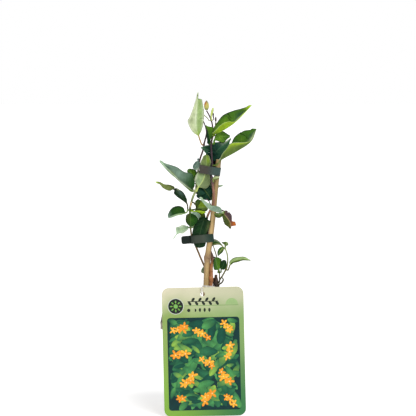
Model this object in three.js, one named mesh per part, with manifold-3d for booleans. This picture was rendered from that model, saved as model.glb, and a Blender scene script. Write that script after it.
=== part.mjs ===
// A young honeysuckle vine in a square nursery pot, tied to a bamboo cane, with a hanging plant label.
// Millimetres, +Z up, the front faces -Y. The origin is the middle of the pot's base.
import * as THREE from 'three';
import { mergeVertices } from 'three/addons/utils/BufferGeometryUtils.js';
import Module from 'manifold-3d';

const wasm = await Module();
wasm.setup();

// ---- driving dimensions ----
const GAP = 0.3;                    // clearance between pieces that touch

const POT_HEIGHT = 110;
const POT_BASE_HALF = 35.5;         // half the outer width at the base
const POT_NECK_HALF = 45.5;         // half the outer width under the rim
const POT_RIM_HALF = 48.7;          // half the outer width of the rim
const POT_RIM_HEIGHT = 9;
const POT_WALL = 1.5;
const POT_FLOOR = 2;
const POT_CORNER = 9;               // corner radius at the rim
const DRAIN_RADIUS = 5;
const DRAIN_OFFSET = 24;

const SOIL_LEVEL = 96;
const SOIL_MOUND = 3;

const CANE_RADIUS = 3.5;
const CANE_TOP_RADIUS = 3.2;
const CANE_NODE_RADIUS = 4.4;
const CANE_FOOT = new THREE.Vector3(1.6, -12, 36);
const CANE_KNEE = new THREE.Vector3(5.9, -12, 182);
const CANE_TOP = new THREE.Vector3(19.7, -12, 298.5);

const LABEL_WIDTH = 95;
const LABEL_HEIGHT = 150;
const LABEL_THICKNESS = 0.8;
const LABEL_CORNER = 8;
const LABEL_HOLE_HALF = [4.3, 3.1];
const LABEL_HOLE_DROP = 8;          // from the top edge to the middle of the hole
const LABEL_MIDDLE = new THREE.Vector3(2.3, -52.2, 76.3);
const LABEL_LEAN = THREE.MathUtils.degToRad(-3.2);
const LABEL_ROLL = THREE.MathUtils.degToRad(-1.3);
const STRAP_RADIUS = 0.8;

const TIE_HEIGHT = 9.6;
const TIE_THICKNESS = 0.6;

const LEAF_THICKNESS = 0.8;
const STALK_RADIUS = 0.6;
const STEM_SIDES = 6;

// ---- finishes ----
const finish = (color, roughness, metalness = 0) =>
  () => new THREE.MeshStandardMaterial({ color, roughness, metalness, side: THREE.DoubleSide });
const taupePlastic = finish(0x968c7d, 0.6);
const darkSoil = finish(0x3a2a1e, 1.0);
const bamboo = finish(0xa98a56, 0.6);
const bark = finish(0x7a5a44, 0.8);
const greenShoot = finish(0x6f7a45, 0.6);
const darkLeaf = finish(0x2c4f26, 0.5);
const freshLeaf = finish(0x6f9a2c, 0.5);
const mintLeaf = finish(0xa0b890, 0.6);
const purpleLeaf = finish(0x55404a, 0.6);
const tieGreen = finish(0x3c4a40, 0.4);
const cardGreen = finish(0xa3b573, 0.5);
const clearStrap = finish(0xe8e6dc, 0.3);

// ---- geometry helpers ----
const vec = (p) => new THREE.Vector3(p[0], p[1], p[2]);

// Joins rings of equal count into one closed solid, with flat caps unless the loft is a closed loop.
function loft(rings, closedLoop = false) {
  const count = rings[0].length;
  const positions = rings.flat().flatMap((p) => [p.x, p.y, p.z]);
  const triangles = [];
  const spans = closedLoop ? rings.length : rings.length - 1;
  for (let i = 0; i < spans; i += 1) {
    const here = i * count;
    const next = ((i + 1) % rings.length) * count;
    for (let j = 0; j < count; j += 1) {
      const k = (j + 1) % count;
      triangles.push(here + j, here + k, next + k, here + j, next + k, next + j);
    }
  }
  if (!closedLoop) {
    const last = (rings.length - 1) * count;
    for (let j = 1; j < count - 1; j += 1) {
      triangles.push(0, j + 1, j, last, last + j, last + j + 1);
    }
  }
  const geometry = new THREE.BufferGeometry();
  geometry.setAttribute('position', new THREE.Float32BufferAttribute(positions, 3));
  geometry.setIndex(triangles);
  return geometry;
}

// A ring of points around a centre, in the plane of two axes.
function ring(centre, side, up, radius, count) {
  return Array.from({ length: count }, (_, i) => {
    const angle = (2 * Math.PI * i) / count;
    return centre.clone()
      .addScaledVector(side, radius * Math.cos(angle))
      .addScaledVector(up, radius * Math.sin(angle));
  });
}

// Frames carried along a path, each one turned as little as possible from the one before it.
function framesAlong(points, closedLoop = false) {
  const last = points.length - 1;
  const tangents = points.map((p, i) => {
    const before = points[i > 0 ? i - 1 : (closedLoop ? last : 0)];
    const after = points[i < last ? i + 1 : (closedLoop ? 0 : last)];
    return after.clone().sub(before).normalize();
  });
  let side = new THREE.Vector3(0, -1, 0).cross(tangents[0]);
  if (side.length() < 0.1) side = new THREE.Vector3(1, 0, 0);
  return tangents.map((tangent) => {
    side = side.clone().addScaledVector(tangent, -side.dot(tangent)).normalize();
    return { tangent, side, up: tangent.clone().cross(side) };
  });
}

// A tapering round stem through points [x, y, z, radius].
function stemGeometry(points, steps = 3, sides = STEM_SIDES) {
  const curve = new THREE.CatmullRomCurve3(points.map(vec), false, 'catmullrom', 0.5);
  const count = (points.length - 1) * steps;
  const centres = Array.from({ length: count + 1 }, (_, i) => curve.getPoint(i / count));
  const frames = framesAlong(centres);
  const rings = centres.map((centre, i) => {
    const place = Math.min(i / steps, points.length - 1 - 1e-9);
    const index = Math.floor(place);
    const radius = THREE.MathUtils.lerp(points[index][3], points[index + 1][3], place - index);
    return ring(centre, frames[i].side, frames[i].up, radius, sides);
  });
  return loft(rings);
}

// The two points where a stalk leaves a stem at one of its nodes: on its surface, and a little further out.
function seat(stem, index, direction, reach = 1.6) {
  const node = vec(stem[index]);
  const before = vec(stem[Math.max(index - 1, 0)]);
  const after = vec(stem[Math.min(index + 1, stem.length - 1)]);
  const along = after.sub(before).normalize();
  const out = vec(direction);
  if (index < stem.length - 1) out.addScaledVector(along, -out.dot(along));
  out.normalize();
  const start = stem[index][3] + GAP;
  return [
    node.clone().addScaledVector(out, start),
    node.clone().addScaledVector(out, start + reach),
  ];
}

// A branch starts square to its parent's surface.
function branch(parent, index, direction, radius, points) {
  const [start, next] = seat(parent, index, direction, 1.8);
  return [[start.x, start.y, start.z, radius], [next.x, next.y, next.z, radius], ...points];
}

// The blade's half width at t from 0 (base) to 1 (tip), as a share of the widest.
function outline(t, [rise, fall]) {
  const widest = rise / (rise + fall);
  const peak = widest ** rise * (1 - widest) ** fall;
  return (Math.max(t, 0) ** rise * Math.max(1 - t, 0) ** fall) / peak;
}

// A leaf: a thin plate along its midrib, with its stalk, folded up on both sides of the rib.
function leafGeometry(leaf, stems) {
  const shape = leaf.shape ?? [0.6, 0.8];
  const [foldLeft, foldRight] = (leaf.fold ?? [20, 20]).map(THREE.MathUtils.degToRad);
  const [turnBase, turnTip] = (leaf.turn ?? [0, 0]).map(THREE.MathUtils.degToRad);
  const stalk = seat(stems[leaf.on[0]], leaf.on[1], leaf.out);
  const through = [...stalk, ...leaf.rib.map(vec)];
  const curve = new THREE.CatmullRomCurve3(through, false, 'catmullrom', 0.5);
  const spans = through.length - 1;
  const steps = leaf.rib.length > 3 ? 3 : 4;
  const stations = [0, 1 / spans, 1.5 / spans];
  for (let i = 0; i <= (leaf.rib.length - 1) * steps; i += 1) {
    stations.push((2 + i / steps) / spans);
  }
  const centres = stations.map((u) => curve.getPoint(Math.min(u, 1)));
  const bladeStart = 3;
  const lengths = [0];
  for (let i = bladeStart + 1; i < centres.length; i += 1) {
    lengths.push(lengths.at(-1) + centres[i].distanceTo(centres[i - 1]));
  }
  const rings = centres.map((centre, i) => {
    const t = i < bladeStart ? 0 : lengths[i - bladeStart] / lengths.at(-1);
    const tangent = centres[Math.min(i + 1, centres.length - 1)].clone()
      .sub(centres[Math.max(i - 1, 0)]).normalize();
    const side = tangent.clone().cross(vec(leaf.face)).normalize();
    const normal = side.clone().cross(tangent);
    const turn = THREE.MathUtils.lerp(turnBase, turnTip, t);
    side.applyAxisAngle(tangent, turn);
    normal.applyAxisAngle(tangent, turn);
    const squeeze = leaf.pinch ? 1 - leaf.pinch[1] * Math.exp(-(((t - leaf.pinch[0]) / 0.13) ** 2)) : 1;
    const open = (half) => (i < bladeStart ? 0 : outline(t, half) * squeeze);
    const depth = i < bladeStart ? STALK_RADIUS : LEAF_THICKNESS / 2;
    const edge = (sign, wide, fold) => {
      const reach = Math.max(wide, STALK_RADIUS);
      const lift = wide > 0 ? fold : 0;
      return centre.clone()
        .addScaledVector(side, sign * reach * Math.cos(lift))
        .addScaledVector(normal, reach * Math.sin(lift));
    };
    const left = edge(-1, leaf.wide[0] * open(shape), foldLeft);
    const right = edge(1, leaf.wide[1] * open(leaf.shapeRight ?? shape), foldRight);
    const above = [left, centre, right].map((p) => p.clone().addScaledVector(normal, depth));
    const below = [right, centre, left].map((p) => p.clone().addScaledVector(normal, -depth));
    return [...above, ...below];
  });
  return loft(rings);
}

// A pointed bud along two points.
function budGeometry(from, to, radius, sides = STEM_SIDES) {
  const start = vec(from);
  const end = vec(to);
  const steps = [[0, 0.45], [0.15, 0.8], [0.4, 1], [0.7, 0.8], [0.9, 0.4], [1, 0.12]];
  const centres = steps.map(([t]) => start.clone().lerp(end, t));
  const frames = framesAlong(centres);
  return loft(centres.map((c, i) => ring(c, frames[i].side, frames[i].up, radius * steps[i][1], sides)));
}

// ---- solids that are cut by others ----
function toSolid(geometry) {
  const bare = geometry.clone();
  bare.deleteAttribute('normal');
  bare.deleteAttribute('uv');
  const merged = mergeVertices(bare, 1e-4);
  return new wasm.Manifold(new wasm.Mesh({
    numProp: 3,
    vertProperties: Float32Array.from(merged.attributes.position.array),
    triVerts: Uint32Array.from(merged.index.array),
  }));
}

function fromSolid(solid) {
  const { vertProperties, triVerts } = solid.getMesh();
  const geometry = new THREE.BufferGeometry();
  geometry.setAttribute('position', new THREE.BufferAttribute(vertProperties, 3));
  geometry.setIndex(new THREE.BufferAttribute(triVerts, 1));
  return geometry;
}

// ---- pot ----
// A square ring with round corners at one height.
function squareRing(half, corner, z, perCorner = 4) {
  const points = [];
  for (let quarter = 0; quarter < 4; quarter += 1) {
    const turn = (quarter * Math.PI) / 2;
    const centre = new THREE.Vector3(half - corner, half - corner, 0)
      .applyAxisAngle(new THREE.Vector3(0, 0, 1), turn);
    for (let i = 0; i <= perCorner; i += 1) {
      const angle = turn + (i / perCorner) * (Math.PI / 2);
      points.push(new THREE.Vector3(
        centre.x + corner * Math.cos(angle),
        centre.y + corner * Math.sin(angle),
        z,
      ));
    }
  }
  return points;
}

const potHalfAt = (z) => THREE.MathUtils.lerp(POT_BASE_HALF, POT_NECK_HALF, z / POT_HEIGHT);
const potCornerAt = (half) => POT_CORNER * (half / POT_RIM_HALF);
const RIM_BOTTOM = POT_HEIGHT - POT_RIM_HEIGHT;

function potGeometry() {
  const outer = loft([
    [POT_BASE_HALF - 1, 0],
    [POT_BASE_HALF, 1.2],
    [potHalfAt(RIM_BOTTOM), RIM_BOTTOM],
    [POT_RIM_HALF, RIM_BOTTOM + 0.8],
    [POT_RIM_HALF, POT_HEIGHT - 1],
    [POT_RIM_HALF - 1, POT_HEIGHT],
  ].map(([half, z]) => squareRing(half, potCornerAt(half), z)));
  const inner = loft([
    [potHalfAt(POT_FLOOR) - POT_WALL, POT_FLOOR],
    [potHalfAt(RIM_BOTTOM) - POT_WALL, RIM_BOTTOM - 1],
    [POT_RIM_HALF - POT_WALL - 1, RIM_BOTTOM + 1.5],
    [POT_RIM_HALF - POT_WALL - 1, POT_HEIGHT + 1],
  ].map(([half, z]) => squareRing(half, potCornerAt(half), z)));
  let pot = toSolid(outer).subtract(toSolid(inner));
  for (const sx of [-1, 1]) {
    for (const sy of [-1, 1]) {
      const drain = new THREE.CylinderGeometry(DRAIN_RADIUS, DRAIN_RADIUS, 4 * POT_FLOOR, 12)
        .rotateX(Math.PI / 2).translate(sx * DRAIN_OFFSET, sy * DRAIN_OFFSET, 0);
      pot = pot.subtract(toSolid(drain));
    }
  }
  return fromSolid(pot);
}

// ---- cane ----
// The cane's axis: straight below its main node, and leaning a little more above it.
function caneAxis(z) {
  const lower = z < CANE_KNEE.z;
  const [from, to] = lower ? [CANE_FOOT, CANE_KNEE] : [CANE_KNEE, CANE_TOP];
  return from.clone().lerp(to, (z - from.z) / (to.z - from.z));
}

function caneGeometry(extra = 0) {
  const stations = [
    [CANE_FOOT.z, CANE_RADIUS - 0.4],
    [CANE_FOOT.z + 2, CANE_RADIUS],
    [CANE_KNEE.z - 6, CANE_RADIUS],
    [CANE_KNEE.z - 2, CANE_NODE_RADIUS],
    [CANE_KNEE.z + 2, CANE_NODE_RADIUS],
    [CANE_KNEE.z + 6, CANE_RADIUS],
    [CANE_TOP.z - 40, CANE_TOP_RADIUS],
    [CANE_TOP.z, CANE_TOP_RADIUS],
  ];
  const centres = stations.map(([z]) => caneAxis(z));
  return loft(centres.map((c, i) => ring(
    c, new THREE.Vector3(1, 0, 0), new THREE.Vector3(0, 1, 0), stations[i][1] + extra, 12,
  )));
}

// ---- stems, as [x, y, z, radius] through their nodes ----
const mainStem = [
  [9.8, -10, 76, 2.4], [10.0, -11, 96, 2.3], [10.3, -12, 122, 2.1], [10.8, -13, 146, 2.0],
  [11.2, -13, 157, 2.0], [11.7, -12.6, 171, 1.9], [12.6, -9, 182, 1.8], [9.6, -5.2, 196, 1.6],
  [6.6, -5, 214, 1.5], [5.8, -11, 228, 1.4], [8.7, -15.9, 236.5, 1.3], [13.0, -17.4, 244.5, 1.2],
  [14.9, -17.3, 250.5, 1.1], [14.2, -16.9, 262.8, 1.0], [12.6, -15.9, 272.3, 1.0],
  [10.9, -15.3, 280.5, 1.0], [12.2, -14.9, 291.5, 1.0], [11.3, -13.4, 306.4, 1.0],
  [10.9, -12.8, 317.3, 1.1], [12.6, -12.2, 325.5, 1.2],
];
const leftStem = branch(mainStem, 4, [0.25, 1, 0], 1.2, [
  [7.6, -5.9, 163, 1.2], [1.6, -6.9, 174, 1.1], [-6.6, -9, 193.7, 1.0], [-11.6, -10.8, 206, 1.0],
  [-13.6, -11.8, 218, 1.0], [-14.2, -12, 238.6, 1.2], [-12.4, -12.4, 248, 0.9],
  [-10.5, -12.4, 254.4, 0.9], [-7.8, -12, 261, 1.0], [-6.4, -9, 270, 0.9], [-4.8, -7.4, 284, 0.9],
  [-2.4, -7.6, 298.2, 0.9], [0.9, -8.2, 308.2, 0.9], [2.2, -8.4, 315.5, 1.0], [3.6, -8.4, 321, 0.9],
  [5.4, -8.2, 329, 0.8], [4.6, -7.6, 335, 0.7], [1.9, -6.6, 343.1, 0.5],
]);
const oldStump = [
  [15, -4, 78, 2.8], [15.4, -5.2, 100, 2.6], [16.2, -7, 128, 2.2], [16.9, -8.4, 146, 2.0],
  [16.9, -9, 152.5, 1.8], [16.7, -9.4, 161.5, 1.6],
];
const stumpFork = branch(oldStump, 3, [-0.45, 0.9, 0], 1.3, [
  [14.2, -5.4, 151.5, 1.3], [13.7, -5.6, 158, 1.2],
]);
const rightShoot = branch(oldStump, 4, [0.75, -0.6, 0], 0.8, [
  [21.3, -13, 156.4, 0.8], [24.0, -13.4, 160.5, 0.8], [28.4, -13, 168.5, 0.9],
  [29.9, -12.6, 174, 0.7], [30.4, -12.4, 180, 0.7], [29.6, -12.2, 187, 0.7], [27.4, -12, 193, 0.8],
]);
const innerRightShoot = branch(oldStump, 5, [0.8, -0.2, 0.4], 0.7, [
  [20.6, -10.6, 164.6, 0.8], [19.0, -8.6, 173, 0.6], [17.4, -7.6, 182.4, 0.55],
  [15.2, -7.2, 190, 0.5], [13.4, -6.8, 195.6, 0.4],
]);
const hookedTwig = branch(oldStump, 3, [0.5, -0.85, 0], 0.7, [
  [20.4, -15.4, 150.8, 0.7], [23.2, -16.6, 152.8, 0.6], [25.0, -16.2, 156, 0.55],
  [24.2, -15.4, 158.8, 0.5],
]);
const sideShoot = branch(mainStem, 11, [0.7, -0.6, 0], 0.8, [
  [19.2, -20.2, 241.4, 0.8], [25.6, -20.6, 237.8, 0.8],
]);
const dryStalk = branch(mainStem, 11, [-0.75, -0.65, 0], 0.7, [
  [8.4, -19.4, 249.4, 0.6], [4.8, -19.6, 252.2, 0.5],
]);
const topShoot = branch(mainStem, 19, [0, 0.35, 0.95], 0.8, [
  [12.4, -10.6, 337, 0.8], [10.9, -10.8, 344.4, 0.8], [8.2, -11.2, 351, 0.7], [5.3, -11.5, 357.2, 0.6],
]);
const topTwigLeft = branch(topShoot, 3, [-0.9, 0.5, 0.3], 0.45, [
  [6.4, -8.8, 346.8, 0.45], [2.4, -8.2, 350.4, 0.35],
]);
const topTwigDark = branch(topShoot, 3, [0.8, -0.2, 0.6], 0.5, [
  [13.2, -11.4, 349.4, 0.5], [13.8, -11.6, 352.6, 0.4],
]);
const budTwig = branch(mainStem, 19, [0.75, 0.8, 0.4], 0.6, [
  [15.8, -7.6, 334, 0.6], [16.2, -7.6, 342, 0.6],
]);
const stems = {
  main_stem: mainStem,
  left_stem: leftStem,
  old_stump: oldStump,
  stump_fork: stumpFork,
  right_shoot: rightShoot,
  inner_right_shoot: innerRightShoot,
  hooked_twig: hookedTwig,
  side_shoot: sideShoot,
  dry_stalk: dryStalk,
  top_shoot: topShoot,
  top_twig_left: topTwigLeft,
  top_twig_dark: topTwigDark,
  bud_twig: budTwig,
};
const WOODY = ['main_stem', 'old_stump', 'stump_fork'];

// ---- leaves ----
// on: the stem and its node; out: which way the stalk leaves it; rib: the midrib from base to tip;
// wide: half widths left and right of the rib, seen with the upper face towards the viewer and the tip up;
// face: where the upper face points; fold: how far each half is lifted; turn: roll at the base and at the tip.
const leaves = [
  {
    name: 'leaf_top_left_upright', on: ['left_stem', 15], out: [-0.8, -0.4, 0.3], finish: mintLeaf,
    rib: [[-3.6, -11, 325], [-7.2, -12.6, 338], [-7, -14, 354], [-4.4, -14.4, 377.5]],
    wide: [9.6, 9.8], face: [0.1, 1, 0], fold: [14, 14], shape: [0.5, 0.6], shapeRight: [0.65, 1.2],
  },
  {
    name: 'leaf_top_right_long', on: ['main_stem', 19], out: [0.9, -0.3, 0.4], finish: freshLeaf,
    rib: [[16.4, -13.4, 328.2], [24.2, -15, 333.4], [40.4, -17, 344.6], [58.3, -18, 362]],
    wide: [15, 12.5], face: [-0.52, -0.41, 0.75], fold: [46, 46], shape: [0.55, 1.05],
  },
  {
    name: 'leaf_top_right_round', on: ['main_stem', 18], out: [0.9, 0.3, 0.2], finish: freshLeaf,
    rib: [[15, -11.6, 321.6], [23.6, -11.4, 325.4], [33.2, -10.6, 325.6]],
    wide: [6, 6.5], face: [-0.1, -1, 0.25], fold: [12, 12], shape: [0.45, 0.5],
  },
  {
    name: 'leaf_top_left_small', on: ['main_stem', 18], out: [-0.8, -0.5, 0.3], finish: darkLeaf,
    rib: [[8.6, -14.6, 321.4], [7.6, -15.4, 329.4], [4.2, -15, 338.6]],
    wide: [3.2, 6.2], face: [0.1, -1, 0.1], fold: [30, 25], shape: [0.5, 0.6],
  },
  {
    name: 'leaf_dark_pair_right', on: ['main_stem', 17], out: [0.6, 0.8, 0], finish: darkLeaf,
    rib: [[13.4, -9.8, 303.6], [21, -7.8, 312], [34.2, -6.8, 323.6]],
    wide: [10.8, 6], face: [-0.2, -1, 0.3], fold: [12, 12], shape: [0.4, 0.6],
  },
  {
    name: 'leaf_dark_pair_left', on: ['main_stem', 17], out: [-0.6, 0.8, 0], finish: darkLeaf,
    rib: [[9.4, -9.6, 308], [4.6, -10.6, 310.4], [-1.6, -12, 312.2]],
    wide: [6.8, 6.2], face: [0.2, -1, 0.35], fold: [15, 15], shape: [0.35, 0.7],
  },
  {
    name: 'leaf_right_long', on: ['main_stem', 16], out: [0.8, -0.7, 0], finish: freshLeaf,
    rib: [[17.8, -17.4, 292.6], [23.4, -18.4, 298.8], [39, -20.2, 307.4], [57, -20.6, 319.4], [64, -19, 334.6]],
    wide: [17, 11.5], face: [-0.62, -0.12, 0.78], fold: [48, 48], turn: [0, 24],
    shape: [1.5, 0.75], shapeRight: [0.7, 0.6],
  },
  {
    name: 'leaf_dark_behind', on: ['main_stem', 16], out: [0.5, 0.85, 0], finish: darkLeaf,
    rib: [[13, -9.8, 293.4], [12.6, -7, 298], [13.8, -6.2, 306]],
    wide: [4, 4], face: [0, -1, 0.1], fold: [10, 10], shape: [0.5, 0.6],
  },
  {
    name: 'leaf_grey_behind', on: ['left_stem', 13], out: [-0.9, -0.4, 0], finish: mintLeaf,
    rib: [[-4.6, -9.6, 296.4], [-6.8, -10.4, 292], [-10.4, -10.8, 287.4]],
    wide: [4.4, 4.4], face: [0.3, 1, 0.1], fold: [14, 14], shape: [0.45, 0.55],
  },
  {
    name: 'leaf_tied_tall', on: ['left_stem', 10], out: [0.5, -0.9, 0], finish: freshLeaf,
    rib: [[-4.6, -14, 265.4], [1.4, -14.2, 274.4], [4.6, -13.5, 286], [6, -13.2, 302.4]],
    wide: [8.6, 9], face: [0.1, 1, 0.1], fold: [8, 8], shape: [0.5, 0.55], pinch: [0.55, 0.56],
  },
  {
    name: 'leaf_green_behind', on: ['left_stem', 11], out: [-0.9, 0.3, 0], finish: freshLeaf,
    rib: [[-9, -6.4, 275.6], [-11.8, -6, 281.4], [-17, -6.8, 286.2]],
    wide: [5.4, 5.2], face: [0.1, -1, 0.1], fold: [10, 10], shape: [0.4, 0.5],
  },
  {
    name: 'leaf_left_long', on: ['left_stem', 10], out: [-0.9, -0.3, 0.2], finish: darkLeaf,
    rib: [[-12.6, -13.6, 262.6], [-25, -15.4, 271.6], [-37, -17, 284], [-50, -17.4, 297.4]],
    wide: [8, 11.4], face: [0.455, -0.743, 0.488], fold: [46, 48], shape: [0.38, 0.8],
  },
  {
    name: 'leaf_left_twisted', on: ['left_stem', 7], out: [-0.8, 0.5, 0.2], finish: darkLeaf,
    rib: [[-17.6, -9, 245.4], [-24, -8.6, 254], [-32.6, -9.6, 262], [-44, -10.6, 268.6], [-55.2, -11, 272]],
    wide: [4.4, 4.6], face: [0.2, -1, 0.3], fold: [22, 22], turn: [-50, 60], shape: [0.4, 0.6],
  },
  {
    name: 'leaf_left_round', on: ['left_stem', 7], out: [-0.9, -0.4, -0.1], finish: darkLeaf,
    rib: [[-18.6, -14, 235.6], [-29, -15.6, 234], [-40, -16, 230]],
    wide: [8, 10], face: [0.1, -0.8, 0.6], fold: [36, 40], shape: [0.45, 0.7],
  },
  {
    name: 'leaf_cluster_round', on: ['left_stem', 7], out: [0.1, -1, -0.2], finish: darkLeaf,
    rib: [[-14, -16.4, 235.4], [-13.4, -18.2, 228], [-13, -18, 219]],
    wide: [5, 5], face: [0, -1, 0.2], fold: [10, 10], shape: [0.4, 0.4],
  },
  {
    name: 'leaf_mint_pointed', on: ['left_stem', 6], out: [-0.9, -0.3, -0.1], finish: mintLeaf,
    rib: [[-16.8, -13, 218], [-22, -14.6, 215.4], [-28, -15.4, 211.8], [-34.4, -15.4, 204.4]],
    wide: [7, 7], face: [-0.2, -0.8, 0.6], fold: [24, 24], shape: [0.5, 1.6],
  },
  {
    name: 'leaf_tied_low', on: ['main_stem', 9], out: [-0.7, -0.7, 0], finish: darkLeaf,
    rib: [[2.6, -14.6, 226], [-1.4, -14.8, 216], [-3, -14.4, 205], [-3.6, -13.6, 193.8]],
    wide: [8.4, 9], face: [0, -1, 0.05], fold: [5, 5], shape: [0.35, 0.4],
  },
  {
    name: 'leaf_lime_small', on: ['left_stem', 7], out: [0.8, -0.6, 0.2], finish: freshLeaf,
    rib: [[-10.4, -15.4, 237.8], [-4, -17.6, 238], [4.6, -18.8, 233.8]],
    wide: [3.4, 3.4], face: [0.1, -0.6, 0.8], fold: [20, 20], shape: [0.5, 0.7],
  },
  {
    name: 'leaf_olive_behind', on: ['left_stem', 7], out: [0.5, 0.9, 0.2], finish: freshLeaf,
    rib: [[-10.4, -8.4, 240.8], [-3.6, -6.4, 244.6], [5, -5.6, 244]],
    wide: [5.4, 4.4], face: [0, -1, 0.1], fold: [10, 10], shape: [0.5, 0.6],
  },
  {
    name: 'leaf_olive_upright', on: ['left_stem', 8], out: [0.9, -0.3, 0], finish: darkLeaf,
    rib: [[-9.2, -13.2, 247.6], [-6.6, -13.4, 250], [-4.4, -13, 255.4]],
    wide: [3, 3], face: [0, -1, 0.1], fold: [20, 20], shape: [0.5, 0.6],
  },
  {
    name: 'leaf_mint_folded', on: ['left_stem', 6], out: [0.9, -0.3, 0.3], finish: mintLeaf,
    rib: [[-10.2, -13.6, 221.6], [-7.4, -14.6, 229], [-8.4, -15, 235.8]],
    wide: [3, 3], face: [0.2, -1, 0], fold: [20, 20], shape: [0.5, 0.6],
  },
  {
    name: 'leaf_olive_low', on: ['left_stem', 7], out: [1, 0.3, -0.3], finish: darkLeaf,
    rib: [[-9.6, -11.6, 236.8], [-3.4, -13, 234.4], [2, -13, 228.4]],
    wide: [3.4, 3.4], face: [0, -1, 0.1], fold: [12, 12], shape: [0.5, 0.6],
  },
  {
    name: 'leaf_mint_over_cane', on: ['side_shoot', 3], out: [-0.3, -0.9, -0.2], finish: mintLeaf,
    rib: [[22.4, -24.4, 236], [10.4, -26, 239.8], [2.6, -25, 247], [-2.9, -23.4, 254.6]],
    wide: [6, 5], face: [0.3, 0.5, 0.8], fold: [30, 30], shape: [0.5, 0.6],
  },
  {
    name: 'leaf_green_under', on: ['side_shoot', 3], out: [-0.5, 0.2, -0.9], finish: freshLeaf,
    rib: [[23.4, -20.2, 233.8], [19.4, -20, 231.8], [14.8, -19.6, 232.4]],
    wide: [2.4, 2.4], face: [0, -1, 0.2], fold: [10, 10], shape: [0.5, 0.6],
  },
  {
    name: 'leaf_purple_drooping', on: ['side_shoot', 3], out: [0.9, -0.1, -0.4], finish: purpleLeaf,
    rib: [[29.8, -21, 235.2], [32.6, -21.4, 230], [33.8, -21, 219]],
    wide: [7.4, 7.4], face: [0.3, -1, 0.1], fold: [-20, 12], shape: [0.45, 0.65],
  },
  {
    name: 'leaf_behind_cane', on: ['left_stem', 10], out: [0.4, 0.9, 0], finish: mintLeaf,
    rib: [[-3.4, -6.4, 262], [8, -3, 263], [17, -3.6, 265], [25, -5, 267]],
    wide: [4.6, 4.6], face: [0, -1, 0.4], fold: [14, 14], shape: [0.5, 0.7],
  },
  {
    name: 'leaf_dark_blue', on: ['left_stem', 10], out: [0.9, 0.05, -0.4], finish: darkLeaf,
    rib: [[-3.6, -9.8, 262.6], [3, -8.6, 260.4], [12.4, -7.4, 249.4]],
    wide: [8, 10], face: [0, -1, 0.1], fold: [6, 6], shape: [0.35, 0.5],
  },
  {
    name: 'leaf_scrap_under_tie', on: ['main_stem', 14], out: [0.5, -0.9, 0.3], finish: freshLeaf,
    rib: [[13.4, -18.4, 274.6], [16.6, -18.4, 276], [20.8, -17.6, 276.2]],
    wide: [1.8, 1.8], face: [0, -1, 0.3], fold: [15, 15], shape: [0.5, 0.6],
  },
  {
    name: 'leaf_low_mint', on: ['main_stem', 5], out: [-0.1, 1, -0.2], finish: mintLeaf,
    rib: [[9, -5, 168.8], [4, -2.8, 166.8], [-0.8, -3.2, 163.6]],
    wide: [4.4, 4.4], face: [0, -1, 0.1], fold: [10, 10], shape: [0.5, 0.6],
  },
  {
    name: 'leaf_arching_in', on: ['right_shoot', 8], out: [-0.9, -0.2, 0.1], finish: freshLeaf,
    rib: [[24.6, -12.4, 194.6], [20, -13.4, 198], [15, -15, 198.6]],
    wide: [3.2, 3.2], face: [0.3, -0.7, 0.7], fold: [20, 20], shape: [0.5, 0.6],
  },
  {
    name: 'leaf_arching_up', on: ['right_shoot', 8], out: [0.5, 0.2, 0.9], finish: freshLeaf,
    rib: [[28, -11.2, 196], [28.8, -11, 199], [29.4, -11.6, 202.4]],
    wide: [3, 3], face: [0, -1, 0.2], fold: [15, 15], shape: [0.5, 0.6],
  },
  {
    name: 'leaf_arching_down', on: ['right_shoot', 8], out: [-0.2, -1, -0.2], finish: freshLeaf,
    rib: [[24.8, -15.4, 191], [22, -16.4, 188], [19.2, -16.4, 183.4]],
    wide: [3.4, 3.4], face: [0, -1, 0.1], fold: [15, 15], shape: [0.5, 0.6],
  },
  {
    name: 'leaf_low_pair_left', on: ['inner_right_shoot', 2], out: [-0.7, -0.6, 0.3], finish: freshLeaf,
    rib: [[18.6, -13.4, 168], [16, -14.4, 175], [14, -14.4, 183.4]],
    wide: [4.2, 5.4], face: [0.1, -1, 0.1], fold: [12, 12], shape: [0.4, 0.45],
  },
  {
    name: 'leaf_low_pair_right', on: ['inner_right_shoot', 2], out: [0.7, -0.6, 0.3], finish: darkLeaf,
    rib: [[23.2, -11.4, 168.4], [26, -11.8, 175], [26.6, -12.2, 183.2]],
    wide: [5, 3], face: [-0.2, -1, 0.1], fold: [14, 14], shape: [0.4, 0.45],
  },
  {
    name: 'leaf_right_arching', on: ['right_shoot', 4], out: [0.8, -0.2, 0.5], finish: freshLeaf,
    rib: [[31.6, -13.8, 172], [35.4, -14.4, 177.4], [44.8, -14.8, 180.2], [57, -14.6, 178.6]],
    wide: [3, 4.4], face: [0.1, -0.7, 0.7], fold: [20, 20], shape: [0.5, 0.6],
  },
  {
    name: 'leaf_young_top', on: ['top_shoot', 3], out: [0.1, -0.9, 0.2], finish: freshLeaf,
    rib: [[10.8, -14, 348.4], [11.8, -14.4, 353.6], [13.2, -14.4, 359.6]],
    wide: [1.7, 1.7], face: [0, -1, 0.1], fold: [25, 25], shape: [0.5, 0.5],
  },
];

const buds = [
  { name: 'bud_top', on: topShoot, index: 5, out: [0, 0, 1], length: 11.4, radius: 3, finish: freshLeaf },
  { name: 'bud_top_small', on: budTwig, index: 3, out: [0, 0, 1], length: 6.6, radius: 1.2, finish: purpleLeaf },
  { name: 'bud_cane_node', on: mainStem, index: 6, out: [1, -0.4, 0.3], length: 3, radius: 1, finish: purpleLeaf },
  { name: 'bud_left_sheath', on: leftStem, index: 8, out: [-1, -0.5, 0.4], length: 5, radius: 1.3, finish: mintLeaf },
];

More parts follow.
